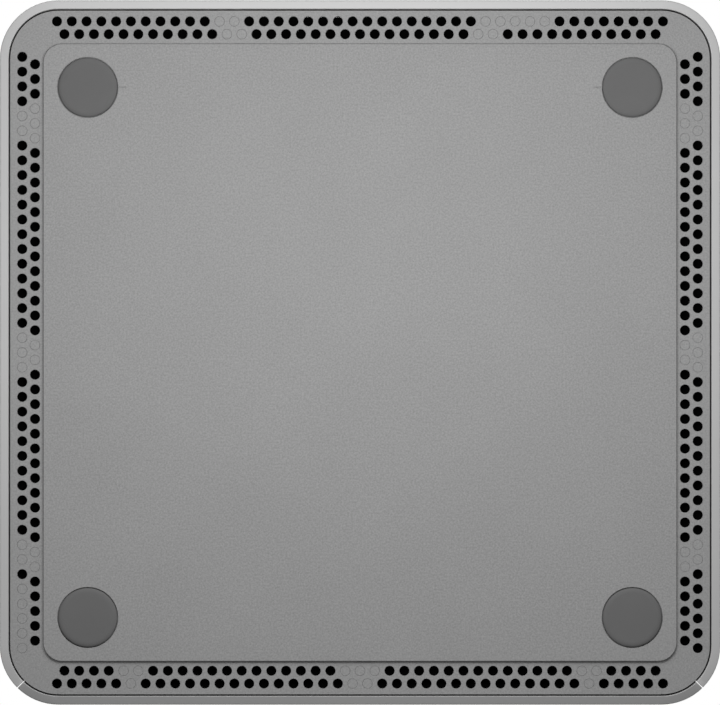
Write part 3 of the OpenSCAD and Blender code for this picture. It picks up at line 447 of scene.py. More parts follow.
def boxLoop(bm, width, depth, x, y, z):
    made = bmesh.ops.create_grid(bm, x_segments=1, y_segments=1, size=0.5,
                                 matrix=place(x, y, z) @ Matrix.Diagonal((width, depth, 1, 1)))
    faces = unique(f for v in made["verts"] for f in v.link_faces)
    bmesh.ops.delete(bm, geom=list(faces), context="FACES_ONLY")
    return unique(e for v in made["verts"] for e in v.link_edges)


def fillSheet(bm, edges):   # fills the outermost loop and leaves the loops inside it open
    bmesh.ops.triangle_fill(bm, use_beauty=True, use_dissolve=False, edges=edges, normal=(0, 0, -1))


# the metal shell and the rear panel

shellLook = {
    "rimSlope": 0.12,     # how far the rim's outer edge stands above its inner edge
    "rimEase": 0.18,     # small bevel along the rim
    "topRound": 1.8,     # rounding around the top plate
    "edge": 0.1,         # small bevel on every cut edge
    "corners": 16,       # segments in a quarter turn
}


def loopAt(bm, inset, z):   # one level of the case's outline, drawn in by inset
    return roundedLoop(bm, case["width"] - 2 * inset, case["depth"] - 2 * inset, case["corner"] - inset, z,
                       shellLook["corners"])


def loft(bm, levels):   # joins loops given as (inset, height) one after another
    loops = [loopAt(bm, inset, z) for inset, z in levels]
    for pair in zip(loops, loops[1:]):
        bmesh.ops.bridge_loops(bm, edges=pair[0] + pair[1])
    return loops


def rimLevels(bottom):   # from the inner wall around the rim to the outer wall
    ease, slope, wall = shellLook["rimEase"], shellLook["rimSlope"], case["wall"]
    return [(wall, bottom + ease), (wall - ease * 0.3, bottom + ease * 0.3), (wall - ease, bottom),
            (ease, bottom + slope), (ease * 0.3, bottom + slope + ease * 0.3), (0, bottom + slope + ease)]


def rearWedge(gap, bottom, top):   # the space behind the two 45 degree seams, kept clear of them by gap
    bm = bmesh.new()
    reach = case["depth"]
    start = (case["depth"] - case["width"]) / 2 + gap * math.sqrt(2)
    outline = [(-reach, start + reach), (0, start), (reach, start + reach),
               (reach, 2 * reach), (-reach, 2 * reach)]
    face = bm.faces.new([bm.verts.new((x, y, bottom)) for x, y in outline])
    up = bmesh.ops.extrude_face_region(bm, geom=[face], use_keep_orig=True)
    bmesh.ops.translate(bm, vec=(0, 0, top - bottom), verts=vertsOf(up))
    bmesh.ops.recalc_face_normals(bm, faces=bm.faces)
    return bm


def roundedSlot(bm, size, middle, radius, segments=6):   # a box along Y whose four long edges are rounded
    verts = addBox(bm, size, middle)
    lengthwise = unique(e for v in verts for e in v.link_edges
                  if abs(e.verts[0].co.y - e.verts[1].co.y) > size[1] / 2)
    bevelEdges(bm, list(lengthwise), radius, segments)


def portCutter(bm, low, high, y, radius):   # an opening with the usual clearance around one socket
    clear = portLook["clear"]
    size = (high.x - low.x + 2 * clear, portLook["through"], high.z - low.z + 2 * clear)
    roundedSlot(bm, size, ((low.x + high.x) / 2, y, (low.z + high.z) / 2), radius)


portLook = {"clear": 0.25, "through": 4.5, "corner": 0.5}


def frontCutters():
    bm = bmesh.new()
    y = -case["depth"] / 2
    for low, high in islands("front_usb_shells"):
        tall = high.z - low.z
        portCutter(bm, low, high, y, tall / 2 + portLook["clear"] - 0.02 if tall < 5 else portLook["corner"])
    low, high = nodeBox("headset_socket")
    addRod(bm, 2.5, portLook["through"], (-40, y, (low.z + high.z) / 2), "Y", 48)
    low, high = nodeBox("power_button")
    addRod(bm, 4.65, portLook["through"], ((low.x + high.x) / 2, y, (low.z + high.z) / 2), "Y", 72)
    low, high = nodeBox("light_pipe")
    addRod(bm, 1.1, portLook["through"], ((low.x + high.x) / 2, y, (low.z + high.z) / 2), "Y", 32)
    return bm


def rearCutters():
    bm = bmesh.new()
    y = case["depth"] / 2
    for node in ("network_socket", "rear_usb_shells", "video_socket_shells"):
        for low, high in islands(node):
            portCutter(bm, low, high, y, portLook["corner"])
    low, high = nodeBox("power_socket_pin")
    addRod(bm, 4.25, portLook["through"], ((low.x + high.x) / 2, y, (low.z + high.z) / 2), "Y", 56)
    low, high = nodeBox("fan_housing")
    slots = {"count": 15, "pitch": 4.6, "width": 3, "bottom": low.z + 1.6, "height": 8}
    for i in range(slots["count"]):
        x = (i - (slots["count"] - 1) / 2) * slots["pitch"]
        roundedSlot(bm, (slots["width"], portLook["through"], slots["height"]),
                    (x, y, slots["bottom"] + slots["height"] / 2), slots["width"] / 2 - 0.02)
    bmesh.ops.recalc_face_normals(bm, faces=bm.faces)
    return bm


def post(bm, outer, inner, bottom, top, x, y):   # a post with a screw hole in its lower end
    deep = min(9, (top - bottom) / 2)
    lathe(bm, [(0, deep), (inner, deep), (inner, 0.2), (inner + 0.2, 0), (outer - 0.3, 0), (outer, 0.3),
               (outer, top - bottom), (0, top - bottom)], (x, y, bottom), "Z", 32)


def makeShell():
    ceiling = case["top"] - case["topPlate"]
    crownRadius = shellLook["topRound"]
    turns = [math.radians(a) for a in range(0, 91, 15)]
    crown = [(crownRadius * (1 - math.cos(t)), case["top"] - crownRadius * (1 - math.sin(t))) for t in turns]
    bm = bmesh.new()
    loops = loft(bm, [(case["wall"], ceiling)] + rimLevels(case["rim"]) + crown)
    bmesh.ops.contextual_create(bm, geom=loops[0])
    bmesh.ops.contextual_create(bm, geom=loops[-1])
    bmesh.ops.recalc_face_normals(bm, faces=bm.faces)
    piece = finishPiece("unibodyShell", bm, "unibody_shell", flat=False)
    cut(piece, rearWedge(0, case["rim"] - 5, ceiling))
    cut(piece, frontCutters())
    easeEdges(piece, shellLook["edge"])
    posts = bmesh.new()
    for sx in (-1, 1):
        for sy in (-1, 1):
            post(posts, 3.5, 1.25, nodeBox("bottom_cover")[1].z - 0.6, ceiling + 0.5, sx * footX, sy * footY)
            post(posts, 3, 1, boardTop, ceiling + 0.5, sx * boardPost.x, sy * boardPost.y)
    addShells(piece, posts)
    keepFlat(piece)
    return piece


def makeRearPanel():
    top = nodeBox("rear_panel")[1].z
    bm = bmesh.new()
    loops = loft(bm, [(case["wall"], top)] + rimLevels(case["rim"]) + [(0, top)])
    bmesh.ops.bridge_loops(bm, edges=loops[0] + loops[-1])
    bmesh.ops.recalc_face_normals(bm, faces=bm.faces)
    piece = finishPiece("rearPanel", bm, "rear_panel", flat=False)
    cut(piece, rearWedge(case["seam"], case["rim"] - 5, top + 5), "INTERSECT")
    ears, holes = bmesh.new(), bmesh.new()
    for side in (-1, 1):
        addEar(ears, side)
        addRod(holes, earLook["hole"], 20, (side * footX, footY, postFoot), "Z", 32)
    cut(piece, ears, "UNION")
    cut(piece, holes)
    cut(piece, rearCutters())
    easeEdges(piece, shellLook["edge"])
    keepFlat(piece)
    return piece


earLook = {"width": 10, "thick": 1.2, "reach": 4.5, "corner": 3, "hole": 1.7}


def addEar(bm, side):   # the tab under a post, which reaches back to the rear wall
    wallY = case["depth"] / 2 - case["wall"] + 0.4
    frontY = footY - earLook["reach"]
    low = postFoot - earLook["thick"]
    made = addBox(bm, (earLook["width"], wallY - frontY, earLook["thick"]),
                  (side * footX, (wallY + frontY) / 2, low + earLook["thick"] / 2))
    upright = unique(e for v in made if v.co.y < footY for e in v.link_edges
               if abs(e.verts[0].co.z - e.verts[1].co.z) > earLook["thick"] / 2)
    bevelEdges(bm, list(upright), earLook["corner"], 8)


boardPost = Vector((max(low.x for low, _ in islands("board_screws")) + 2.4, 24))
postFoot = nodeBox("rear_panel")[0].z + 3.9
makeShell()
makeRearPanel()
print("shell and rear panel made")


# the bottom cover: perforated border, raised centre panel, seats for the feet, skirt and screw bosses

coverLook = {
    "pitch": 2.77, "hole": 0.9, "widen": 1.06, "sides": 16, "holeEdge": 0.03,
    "insetX": 4.2, "insetY": 3.95, "margin": 10.5,
    "plugOuter": 0.98, "plugInner": 0.88, "plugDepth": 0.09,
    "panelInset": 8.2, "panelRadius": 3.5, "panelRaise": 0.7, "panelEdge": 0.08,
    "grooveWidth": 0.08, "grooveDepth": 0.06,
    "thick": 1.5, "gap": 0.25, "edge": 0.12, "skirt": 0.9,
    "seat": 5.7, "seatDepth": 0.6, "markLength": 1.3, "markWidth": 0.2, "markDepth": 0.15,
    "boss": 4.5, "headHole": 3.05, "headSpace": 1.6, "screwHole": 1.7,
}
blind = {
    "front": ((11, 12, 29, 30, 31, 32, 33), (11, 12, 28, 29)),
    "rear": ((5, 20, 21, 36), (4, 5, 19, 20, 21, 35, 36)),
    "left": ((4, 5, 19, 20, 21, 33, 34, 36, 37, 38, 39, 40), (3, 4, 5, 19, 20, 33, 34)),
    "right": ((4, 5, 19, 20, 21, 33, 34), (3, 4, 5, 19, 20, 33, 34)),
}


def ventPlaces():   # each place in the two rows along each side, with True where it is open
    pitch, margin = coverLook["pitch"], coverLook["margin"]
    step = pitch * math.sin(math.radians(60))
    for side, lists in blind.items():
        along = case["width"] if side in ("front", "rear") else case["depth"]
        count = math.floor((along - 2 * margin) / pitch) + 1
        for row in (0, 1):
            for k in range(count - row):
                t = (k - (count - 1 - row) / 2) * pitch
                if side in ("front", "rear"):
                    away = case["depth"] / 2 - coverLook["insetY"] - row * step
                    spot = (t, -away if side == "front" else away)
                else:
                    away = case["width"] / 2 - coverLook["insetX"] - row * step
                    spot = (-away if side == "left" else away, t)
                yield spot, k not in lists[row]


def sink(bm, loop, depth, cap=True):   # carries a loop of edges up by depth, and closes it there
    made = bmesh.ops.extrude_edge_only(bm, edges=loop)
    verts = vertsOf(made)
    bmesh.ops.translate(bm, vec=(0, 0, depth), verts=verts)
    edges = [g for g in made["geom"] if isinstance(g, bmesh.types.BMEdge)]
    edges = [e for e in edges if e.verts[0] in verts and e.verts[1] in verts]
    if cap:
        bmesh.ops.contextual_create(bm, geom=edges)
    return edges


def outside(edge, wide, deep):
    middle = (edge.verts[0].co + edge.verts[1].co) / 2
    return max(abs(middle.x) - wide / 2, abs(middle.y) - deep / 2) > -3.5 and edge.calc_length() > 1


def throughHole(edge, thick):   # an edge whose upright neighbour runs through the whole sheet
    return any(abs(f.calc_center_median().z - edge.verts[0].co.z) > thick * 0.4 for f in edge.link_faces)


def makeCover():
    look = coverLook
    wide = case["width"] - 2 * (case["wall"] + look["gap"])
    deep = case["depth"] - 2 * (case["wall"] + look["gap"])
    corner = case["corner"] - case["wall"] - look["gap"]
    panelZ = coverLow.z
    borderZ = panelZ + look["panelRaise"]
    bm = bmesh.new()

    sheet = roundedLoop(bm, wide, deep, corner, borderZ, 20)
    stepWide = case["width"] - 2 * look["panelInset"]
    stepDeep = case["depth"] - 2 * look["panelInset"]
    wider = look["grooveWidth"]
    step = roundedLoop(bm, stepWide + 2 * wider, stepDeep + 2 * wider, look["panelRadius"] + wider,
                       borderZ, 12)
    sheet += step
    openings, plugs = [], []
    for (x, y), isOpen in ventPlaces():
        radius = look["hole"] if isOpen else look["plugOuter"]
        loop = ringLoop(bm, x, y, borderZ, radius, look["sides"])
        sheet += loop
        (openings if isOpen else plugs).append((loop, x, y))
    fillSheet(bm, sheet)
    for loop, x, y in openings:
        ring = unique(v for e in loop for v in e.verts)
        bmesh.ops.scale(bm, vec=(look["widen"], look["widen"], 1), space=place(-x, -y, 0), verts=ring)
    for loop, x, y in plugs:   # blind places: a plug behind a fine groove
        middle = (look["plugOuter"] + look["plugInner"]) / 2
        groove = ringLoop(bm, x, y, borderZ + look["plugDepth"], middle, look["sides"])
        disc = ringLoop(bm, x, y, borderZ, look["plugInner"], look["sides"])
        bmesh.ops.bridge_loops(bm, edges=loop + groove)
        bmesh.ops.bridge_loops(bm, edges=groove + disc)
        bmesh.ops.contextual_create(bm, geom=disc)

    panel = roundedLoop(bm, stepWide, stepDeep, look["panelRadius"], panelZ, 12)
    foot = roundedLoop(bm, stepWide, stepDeep, look["panelRadius"], borderZ + look["grooveDepth"], 12)
    bottom = roundedLoop(bm, stepWide + wider, stepDeep + wider, look["panelRadius"] + wider / 2,
                         borderZ + look["grooveDepth"], 12)
    for pair in ((step, bottom), (bottom, foot), (foot, panel)):
        bmesh.ops.bridge_loops(bm, edges=pair[0] + pair[1])
    seats, marks = [], []
    for sx in (-1, 1):
        for sy in (-1, 1):
            x, y = sx * footX, sy * footY
            seats.append((ringLoop(bm, x, y, panelZ, look["seat"], 64), x, y))
        x = sx * (footX - look["seat"] - 0.15 - look["markLength"] / 2)
        marks.append(boxLoop(bm, look["markLength"], look["markWidth"], x, -footY, panelZ))
    fillSheet(bm, panel + [e for loop in [seat[0] for seat in seats] + marks for e in loop])
    for loop, x, y in seats:   # a foot's seat, open in the middle for the screw head behind the foot
        floor = sink(bm, loop, look["seatDepth"], False)
        opening = ringLoop(bm, x, y, panelZ + look["seatDepth"], look["headHole"], 64)
        bmesh.ops.bridge_loops(bm, edges=floor + opening)
    for loop in marks:
        sink(bm, loop, look["markDepth"])

    under = list(bm.faces)
    up = bmesh.ops.extrude_face_region(bm, geom=under, use_keep_orig=True)
    bmesh.ops.translate(bm, vec=(0, 0, look["thick"]), verts=vertsOf(up))
    bmesh.ops.recalc_face_normals(bm, faces=bm.faces)

    def farOut(edge, margin):   # true for edges near the outline of the panel or beyond it
        middle = (edge.verts[0].co + edge.verts[1].co) / 2
        corner = max(abs(middle.x) - stepWide / 2, abs(middle.y) - stepDeep / 2)
        return corner > -margin

    panelRim = [e for e in edgesAt(bm, panelZ) if farOut(e, look["panelRadius"] * 0.3)]
    bevelEdges(bm, panelRim, look["panelEdge"], 3)
    bevelEdges(bm, edgesAt(bm, panelZ), 0.04, 1)
    outline = [e for e in edgesAt(bm, borderZ) if e.is_convex and outside(e, wide, deep)]
    bevelEdges(bm, outline, look["edge"], 2)
    holes = [e for e in edgesAt(bm, borderZ) if e.is_convex and throughHole(e, look["thick"])]
    bevelEdges(bm, holes, look["holeEdge"], 1)

    piece = finishPiece("bottomCover", bm, "bottom_cover", flat=False)
    more = bmesh.new()
    innerWall(more, wide, deep, corner, borderZ + look["thick"] - 0.2, coverHigh.z, look["skirt"])
    step = nodeBox("cover_screws")[0].z + look["headSpace"]
    start = panelZ + look["seatDepth"] + look["thick"] - 0.1
    for sx in (-1, 1):
        for sy in (-1, 1):
            top = postFoot if sy < 0 else postFoot - earLook["thick"]
            outer, head, hole = look["boss"], look["headHole"] + 0.01, look["screwHole"]
            profile = [(head, start), (head, step), (hole, step), (hole, top - 0.2), (hole + 0.2, top),
                       (outer - 0.2, top), (outer, top - 0.2), (outer, start), (head, start)]
            lathe(more, profile, (sx * footX, sy * footY, 0), "Z", 64)
    addShells(piece, more)
    keepFlat(piece)
    return piece


def innerWall(bm, wide, deep, corner, bottom, top, thick):   # the upright skirt around the cover's edge
    outer = roundedLoop(bm, wide, deep, corner, bottom, 12)
    inner = roundedLoop(bm, wide - 2 * thick, deep - 2 * thick, corner - thick, bottom, 12)
    base = bmesh.ops.bridge_loops(bm, edges=outer + inner)["faces"]
    up = bmesh.ops.extrude_face_region(bm, geom=base, use_keep_orig=True)
    verts = vertsOf(up)
    bmesh.ops.translate(bm, vec=(0, 0, top - bottom), verts=verts)
    faces = unique([f for v in verts for f in v.link_faces] + list(base))
    bmesh.ops.recalc_face_normals(bm, faces=faces)
    return verts


cover = makeCover()
print("bottom cover made:", len(cover.data.polygons), "faces")


# feet

footLook = {"radius": 5.55, "dome": 1.0, "dip": 0.45}   # the rounded edge is dome wide and falls by dip


def makeFoot(node):
    low, high = nodeBox(node)
    x, y = (low.x + high.x) / 2, (low.y + high.y) / 2
    radius, dome, dip = footLook["radius"], footLook["dome"], footLook["dip"]
    edge = [(radius - dome + dome * math.sin(math.radians(a)), dip * (1 - math.cos(math.radians(a))))
            for a in range(0, 91, 15)]
    bm = bmesh.new()
    lathe(bm, [(0, 0)] + edge + [(radius, high.z), (0, high.z)], (x, y, 0), "Z", 72)
    return finishPiece(camel(node), bm, node)


for node in ("front_left_foot", "front_right_foot", "rear_left_foot", "rear_right_foot"):
    makeFoot(node)
print("feet made")


# front: button, light, headset socket and sockets

buttonLook = {"dish": 0.22, "chamfer": 0.25, "ring": 0.35}   # hollow face, bevel and flat ring


def makeButton():
    low, high = nodeBox("power_button")
    x, z = (low.x + high.x) / 2, (low.z + high.z) / 2
    look, radius, wall = buttonLook, 4.5, case["wall"]
    ring = radius - look["chamfer"] - look["ring"]
    dish = [(ring * i / 8, look["dish"] * (1 - (i / 8) ** 2)) for i in range(9)]
    flange = wall + 0.1
    profile = dish + [(radius - look["chamfer"], 0), (radius, look["chamfer"]), (radius, flange)]
    profile += [(radius + 1.15, flange), (radius + 1.25, flange + 0.1), (radius + 1.25, flange + 0.9),
                (radius + 1.15, flange + 1), (1.5, flange + 1), (1.5, high.y - low.y - 0.2),
                (1.3, high.y - low.y), (0, high.y - low.y)]
    bm = bmesh.new()
    lathe(bm, profile, (x, low.y, z), "Y", 72)
    finishPiece("powerButton", bm, "power_button", sharp=25)


def makeLightPipe():
    low, high = nodeBox("light_pipe")
    x, z, deep = (low.x + high.x) / 2, (low.z + high.z) / 2, high.y - low.y
    bm = bmesh.new()
    lens = [(0, 0), (0.6, 0.04), (0.9, 0.14), (1, 0.3)]
    flange = [(1, deep - 0.8), (2, deep - 0.8), (2, deep), (0, deep)]
    lathe(bm, lens + flange, (x, low.y, z), "Y", 32)
    finishPiece("lightPipe", bm, "light_pipe")


def makeHeadsetSocket():
    low, high = nodeBox("headset_socket")
    more = bmesh.new()
    for side in (-1, 1):   # spring contacts along the hole's walls
        easedBox(more, (0.3, 4, 1), (-40 + side * 1.9, low.y + 6.5, (low.z + high.z) / 2), 0.08)
    refine("headset_socket", 0.15, more)


pinLook = {"usbPitch": 2.5, "usbWidth": 1.2, "videoPitch": 1, "cardPitch": 0.5, "memoryPitch": 0.6}


def bladeRow(bm, count, pitch, size, middle, edge=0.04):   # a row of contacts along X
    for i in range(count):
        x = middle[0] + (i - (count - 1) / 2) * pitch
        easedBox(bm, size, (x, middle[1], middle[2]), edge)


def socketSprings(bm, low, high, mouth, inward):   # pressed spring tabs inside a USB shell's long sides
    for dx in (-3.2, 3.2):
        for z in (low.z + 0.86, high.z - 0.86):
            easedBox(bm, (2, 4.2, 0.14), ((low.x + high.x) / 2 + dx, mouth + inward * 3.4, z), 0.05)


def makeUsbSockets():
    contacts = bmesh.new()
    for end, mouthSide in (("rear", 1), ("front", -1)):
        node, shells = end + "_usb_tongues", end + "_usb_shells"
        more = bmesh.new()
        for low, high in islands(shells):
            mouth = high.y if mouthSide > 0 else low.y
            if high.z - low.z > 10:
                mid = (low.z + high.z) / 2
                for half in (-3.9, 3.9):
                    lower = Vector((low.x, 0, mid + half - 3.3))
                    upper = Vector((high.x, 0, mid + half + 3.3))
                    socketSprings(more, lower, upper, mouth, -mouthSide)
            elif high.z - low.z > 5:
                socketSprings(more, low, high, mouth, -mouthSide)
        refine(shells, 0.07, more)
        refine(node, 0.15)
        for low, high in islands(node):
            wide, tip = high.x - low.x, high.y if mouthSide > 0 else low.y
            middle = ((low.x + high.x) / 2, tip - mouthSide * 4.2, low.z - 0.03)
            if wide > 8:
                bladeRow(contacts, 4, pinLook["usbPitch"], (pinLook["usbWidth"], 6, 0.12), middle)
                bladeRow(contacts, 5, 2, (0.7, 1.4, 0.12), (middle[0], tip - mouthSide * 0.9, low.z - 0.03))
            else:
                for z in (low.z - 0.02, high.z + 0.02):
                    row = (middle[0], tip - mouthSide * 2.2, z)
                    bladeRow(contacts, 12, 0.5, (0.26, 3.6, 0.08), row, 0.02)
    trim("usbContacts", contacts, "case", "brass")


def makeVideoSockets():
    contacts, tabs = bmesh.new(), bmesh.new()
    refine("video_socket_tongues", 0.12)
    for low, high in islands("video_socket_tongues"):
        for z, count in ((low.z - 0.03, 10), (high.z + 0.03, 9)):
            bladeRow(contacts, count, pinLook["videoPitch"], (0.45, 5, 0.12),
                     ((low.x + high.x) / 2, high.y - 3, z), 0.03)
    for low, high in islands("video_socket_shells"):
        for dx in (-3.4, 3.4):
            easedBox(tabs, (1.8, 4, 0.14), ((low.x + high.x) / 2 + dx, high.y - 3.2, high.z - 0.62), 0.05)
    refine("video_socket_shells", 0.08, tabs)
    trim("videoContacts", contacts, "case", "brass")


def makeNetworkSocket():
    low, high = nodeBox("network_socket")
    x, mouth = (low.x + high.x) / 2, high.y
    top = high.z - 1.2
    wires, windows, liner = bmesh.new(), bmesh.new(), bmesh.new()
    slant = Matrix.Rotation(math.radians(-16), 3, "X")
    for i in range(8):   # eight sprung wires, slanting down into the socket
        wx = x + (i - 3.5) * 1.02
        centre = (wx, mouth - 6.5, top - 2.2)
        verts = addBox(wires, (0.4, 9, 0.3), centre)
        bmesh.ops.rotate(wires, cent=centre, matrix=slant, verts=verts)
    for side in (-1, 1):   # the two signal windows above the plug
        easedBox(windows, (2.4, 0.5, 1.0), (x + side * 5.6, mouth - 0.22, high.z - 0.72), 0.12)
    easedBox(liner, (11.6, 0.6, 1.1), (x, mouth - 14.2, top - 1), 0.1)
    for side in (-1, 1):   # ground springs on both sides of the opening
        easedBox(liner, (0.16, 5, 2.4), (x + side * 5.82, mouth - 4, top - 5), 0.06)
    refine("network_socket", 0.12, liner)
    trim("networkWires", wires, "case", "brass")
    trim("networkWindows", windows, "case", "clear_plastic")


def makePowerSocket():
    low, high = nodeBox("power_socket_pin")
    x, z, deep = (low.x + high.x) / 2, (low.z + high.z) / 2, high.y - low.y
    bm = bmesh.new()
    lathe(bm, [(0, 0), (1.25, 0), (1.25, deep - 0.7)] + arc(0.7, (0.55, deep - 0.7), 0, 90) + [(0, deep)],
          (x, low.y, z), "Y", 40)
    finishPiece("powerSocketPin", bm, "power_socket_pin")
    refine("power_socket", 0.2)
    sleeve = bmesh.new()   # the outer contact, a spring along the hole's floor
    easedBox(sleeve, (1.6, 6, 0.25), (x, high.y - 3.5, z - 2.95), 0.08)
    trim("powerContact", sleeve, "case", "port_steel")


# board, cards and cooler

boardLook = {
    "topChips": ((-31, -26, 9, 9), (31, -27, 7, 7), (0, -30, 12, 6), (-38, 30, 8, 6), (39, 30, 6, 6),
                 (7, -44, 8, 8), (-52, 30, 5, 5), (52, -30, 5, 5)),
    "underChips": ((4, 33, 12, 12), (-10, 52, 6, 6), (50, -10, 6, 8), (-51, -36, 7, 7), (50, 14, 5, 5)),
    "chipHeight": 1.0,
}


def chipWithPins(chips, pins, x, y, wide, deep, z, up):
    tall = boardLook["chipHeight"]
    easedBox(chips, (wide, deep, tall - 0.1), (x, y, z + up * (tall / 2 + 0.05)), 0.08)
    for side in (-1, 1):
        middle = (x, y + side * (deep / 2 + 0.3), z + up * 0.1)
        bladeRow(pins, int((wide - 1) / 0.8), 0.8, (0.35, 0.7, 0.15), middle, 0.03)


def chipParts(bm, wide, middle):   # the row of small parts beside a chip
    bladeRow(bm, max(3, int(wide / 1.6)), 1.6, (0.9, 0.5, 0.45), middle, 0.06)


def makeBoard():
    top, under = nodeBox("main_board")[1].z, nodeBox("main_board")[0].z
    chips, pins, small = bmesh.new(), bmesh.new(), bmesh.new()
    for x, y, wide, deep in boardLook["topChips"]:
        chipWithPins(chips, pins, x, y, wide, deep, top, 1)
        chipParts(small, wide, (x, y + deep / 2 + 2.2, top + 0.22))
    for x, y, wide, deep in boardLook["underChips"]:
        chipWithPins(chips, pins, x, y, wide, deep, under, -1)
        chipParts(small, wide, (x, y - deep / 2 - 2.2, under - 0.22))
    for i in range(12):   # rows of small parts around the processor
        for side in (-1, 1):
            easedBox(small, (1, 0.6, 0.5), ((i - 5.5) * 2.4, side * 18.2, top + 0.25), 0.06)
    refine("main_board", 0.12)
    trim("boardChips", chips, "case", "chip_plastic")
    trim("boardPins", pins, "case", "plain_steel")
    trim("boardParts", small, "case", "cream_plastic")


def makeProcessor():
    low, high = nodeBox("processor")
    bm, die, parts = bmesh.new(), bmesh.new(), bmesh.new()
    easedBox(bm, (high.x - low.x, high.y - low.y, 1), (0, 0, low.z + 0.5), 0.12, 2)
    finishPiece("processorPackage", bm, "processor")
    easedBox(die, (20, 11, 0.72), (0, 0, high.z - 0.36), 0.05)
    trim("processorDie", die, "case", "chip_plastic")
    for side in (-1, 1):
        bladeRow(parts, 9, 3, (0.9, 0.5, 0.35), (0, side * 10.5, low.z + 1.17), 0.05)
    trim("processorParts", parts, "case", "cream_plastic")


def makeMemory(node, socket):
    low, high = nodeBox(node)
    middle = (low.z + high.z) / 2
    thick = 1.2
    board = bmesh.new()
    easedBox(board, (high.x - low.x, high.y - low.y, thick), (0, (low.y + high.y) / 2, middle), 0.08)
    piece = finishPiece(camel(node), board, node)
    notches = bmesh.new()
    for side in (-1, 1):   # half-round notches for the latches, and the key slot
        addRod(notches, 1.6, 4, (side * (high.x - 0.1), low.y + 19, middle), "Z", 32)
    addBox(notches, (1.4, 4, 4), (-9, low.y, middle))
    cut(piece, notches)
    keepFlat(piece)
    chips, gold, parts = bmesh.new(), bmesh.new(), bmesh.new()
    for side in (-1, 1):
        chipZ, goldZ = middle + side * (thick / 2 + 0.55), middle + side * (thick / 2 + 0.01)
        for i in range(4):
            easedBox(chips, (11, 10, 1.08), ((i - 1.5) * 15.5, low.y + 18.6, chipZ), 0.1)
        for x, count in ((-21.5, 36), (12, 68)):
            bladeRow(gold, count, pinLook["memoryPitch"], (0.38, 2.4, 0.06), (x, low.y + 1.35, goldZ), 0.01)
        bladeRow(parts, 24, 2.5, (1, 0.5, 0.4), (0, low.y + 10, middle + side * (thick / 2 + 0.2)), 0.05)
    trim(camel(node) + "Chips", chips, "case", "chip_plastic")
    trim(camel(node) + "Contacts", gold, "case", "brass")
    trim(camel(node) + "Parts", parts, "case", "cream_plastic")
    pins = bmesh.new()
    socketLow, socketHigh = nodeBox(socket)
    middle = (0, socketLow.y - 0.35, socketHigh.z - 0.18)
    bladeRow(pins, 104, pinLook["memoryPitch"], (0.25, 1.1, 0.3), middle, 0.04)
    trim(camel(socket) + "Pins", pins, "case", "plain_steel")
    refine(socket, 0.12)


def makeDriveCard():
    low, high = nodeBox("drive_card")
    refine("drive_card", 0.06)
    chips, gold = bmesh.new(), bmesh.new()
    for x in (-16, -38, -60):
        easedBox(chips, (15.1, 18.1, 1.36), (36 + x, 3, low.z + 0.72), 0.1)
    trim("driveChips", chips, "case", "chip_plastic")
    top = high.z
    bladeColumn(gold, 34, pinLook["cardPitch"], (2, 0.3, 0.05), (36.2, 3, top + 0.005))
    trim("driveContacts", gold, "case", "brass")


def bladeColumn(bm, count, pitch, size, middle):   # a row of contacts along Y
    for i in range(count):
        easedBox(bm, size, (middle[0], middle[1] + (i - (count - 1) / 2) * pitch, middle[2]), 0.01)


def makeWirelessCard():
    low = nodeBox("wireless_card")[0]
    refine("wireless_card", 0.06)
    can = bmesh.new()
    easedBox(can, (16.2, 17.2, 1.22), (-32, 38.5, low.z + 0.61), 0.25, 2)
    trim("wirelessShield", can, "case", "port_steel")


def makeCapacitors():
    bm, bases = bmesh.new(), bmesh.new()
    for low, high in islands("capacitors"):
        x, y = (low.x + high.x) / 2, (low.y + high.y) / 2
        radius, tall = (high.x - low.x) / 2, high.z - low.z
        top = arc(0.3, (radius - 0.3, tall - 0.3), 0, 90, 4)
        side = [(0, 0.5), (radius, 0.5), (radius, 1.1), (radius - 0.18, 1.25), (radius, 1.4)]
        lathe(bm, side + top + [(0, tall)], (x, y, low.z), "Z", 32)
        verts = addBox(bases, (2 * radius, 2 * radius, 0.5), (x, y, low.z + 0.25))
        upright = unique(e for v in verts for e in v.link_edges
                         if abs(e.verts[0].co.z - e.verts[1].co.z) > 0.3)
        bevelEdges(bases, [e for e in upright if e.verts[0].co.x > x], 0.6, 1)
    finishPiece("capacitors", bm, "capacitors")
    trim("capacitorBases", bases, "case", "black_plastic")


def makeChokes():
    bm, ends = bmesh.new(), bmesh.new()
    for low, high in islands("power_chokes"):
        middle, size = (low + high) / 2, high - low
        easedBox(bm, size, middle, 0.5, 3)
        for side in (-1, 1):
            spot = (middle.x, middle.y + side * (size.y / 2 - 0.1), low.z + 0.25)
            easedBox(ends, (size.x * 0.5, 0.5, 0.5), spot, 0.08)
    finishPiece("powerChokes", bm, "power_chokes")
    trim("chokeTerminals", ends, "case", "plain_steel")


fanLook = {"blades": 23, "hub": 15, "tip": 32.6, "sweep": 46, "thick": 0.7, "cap": 1.2}


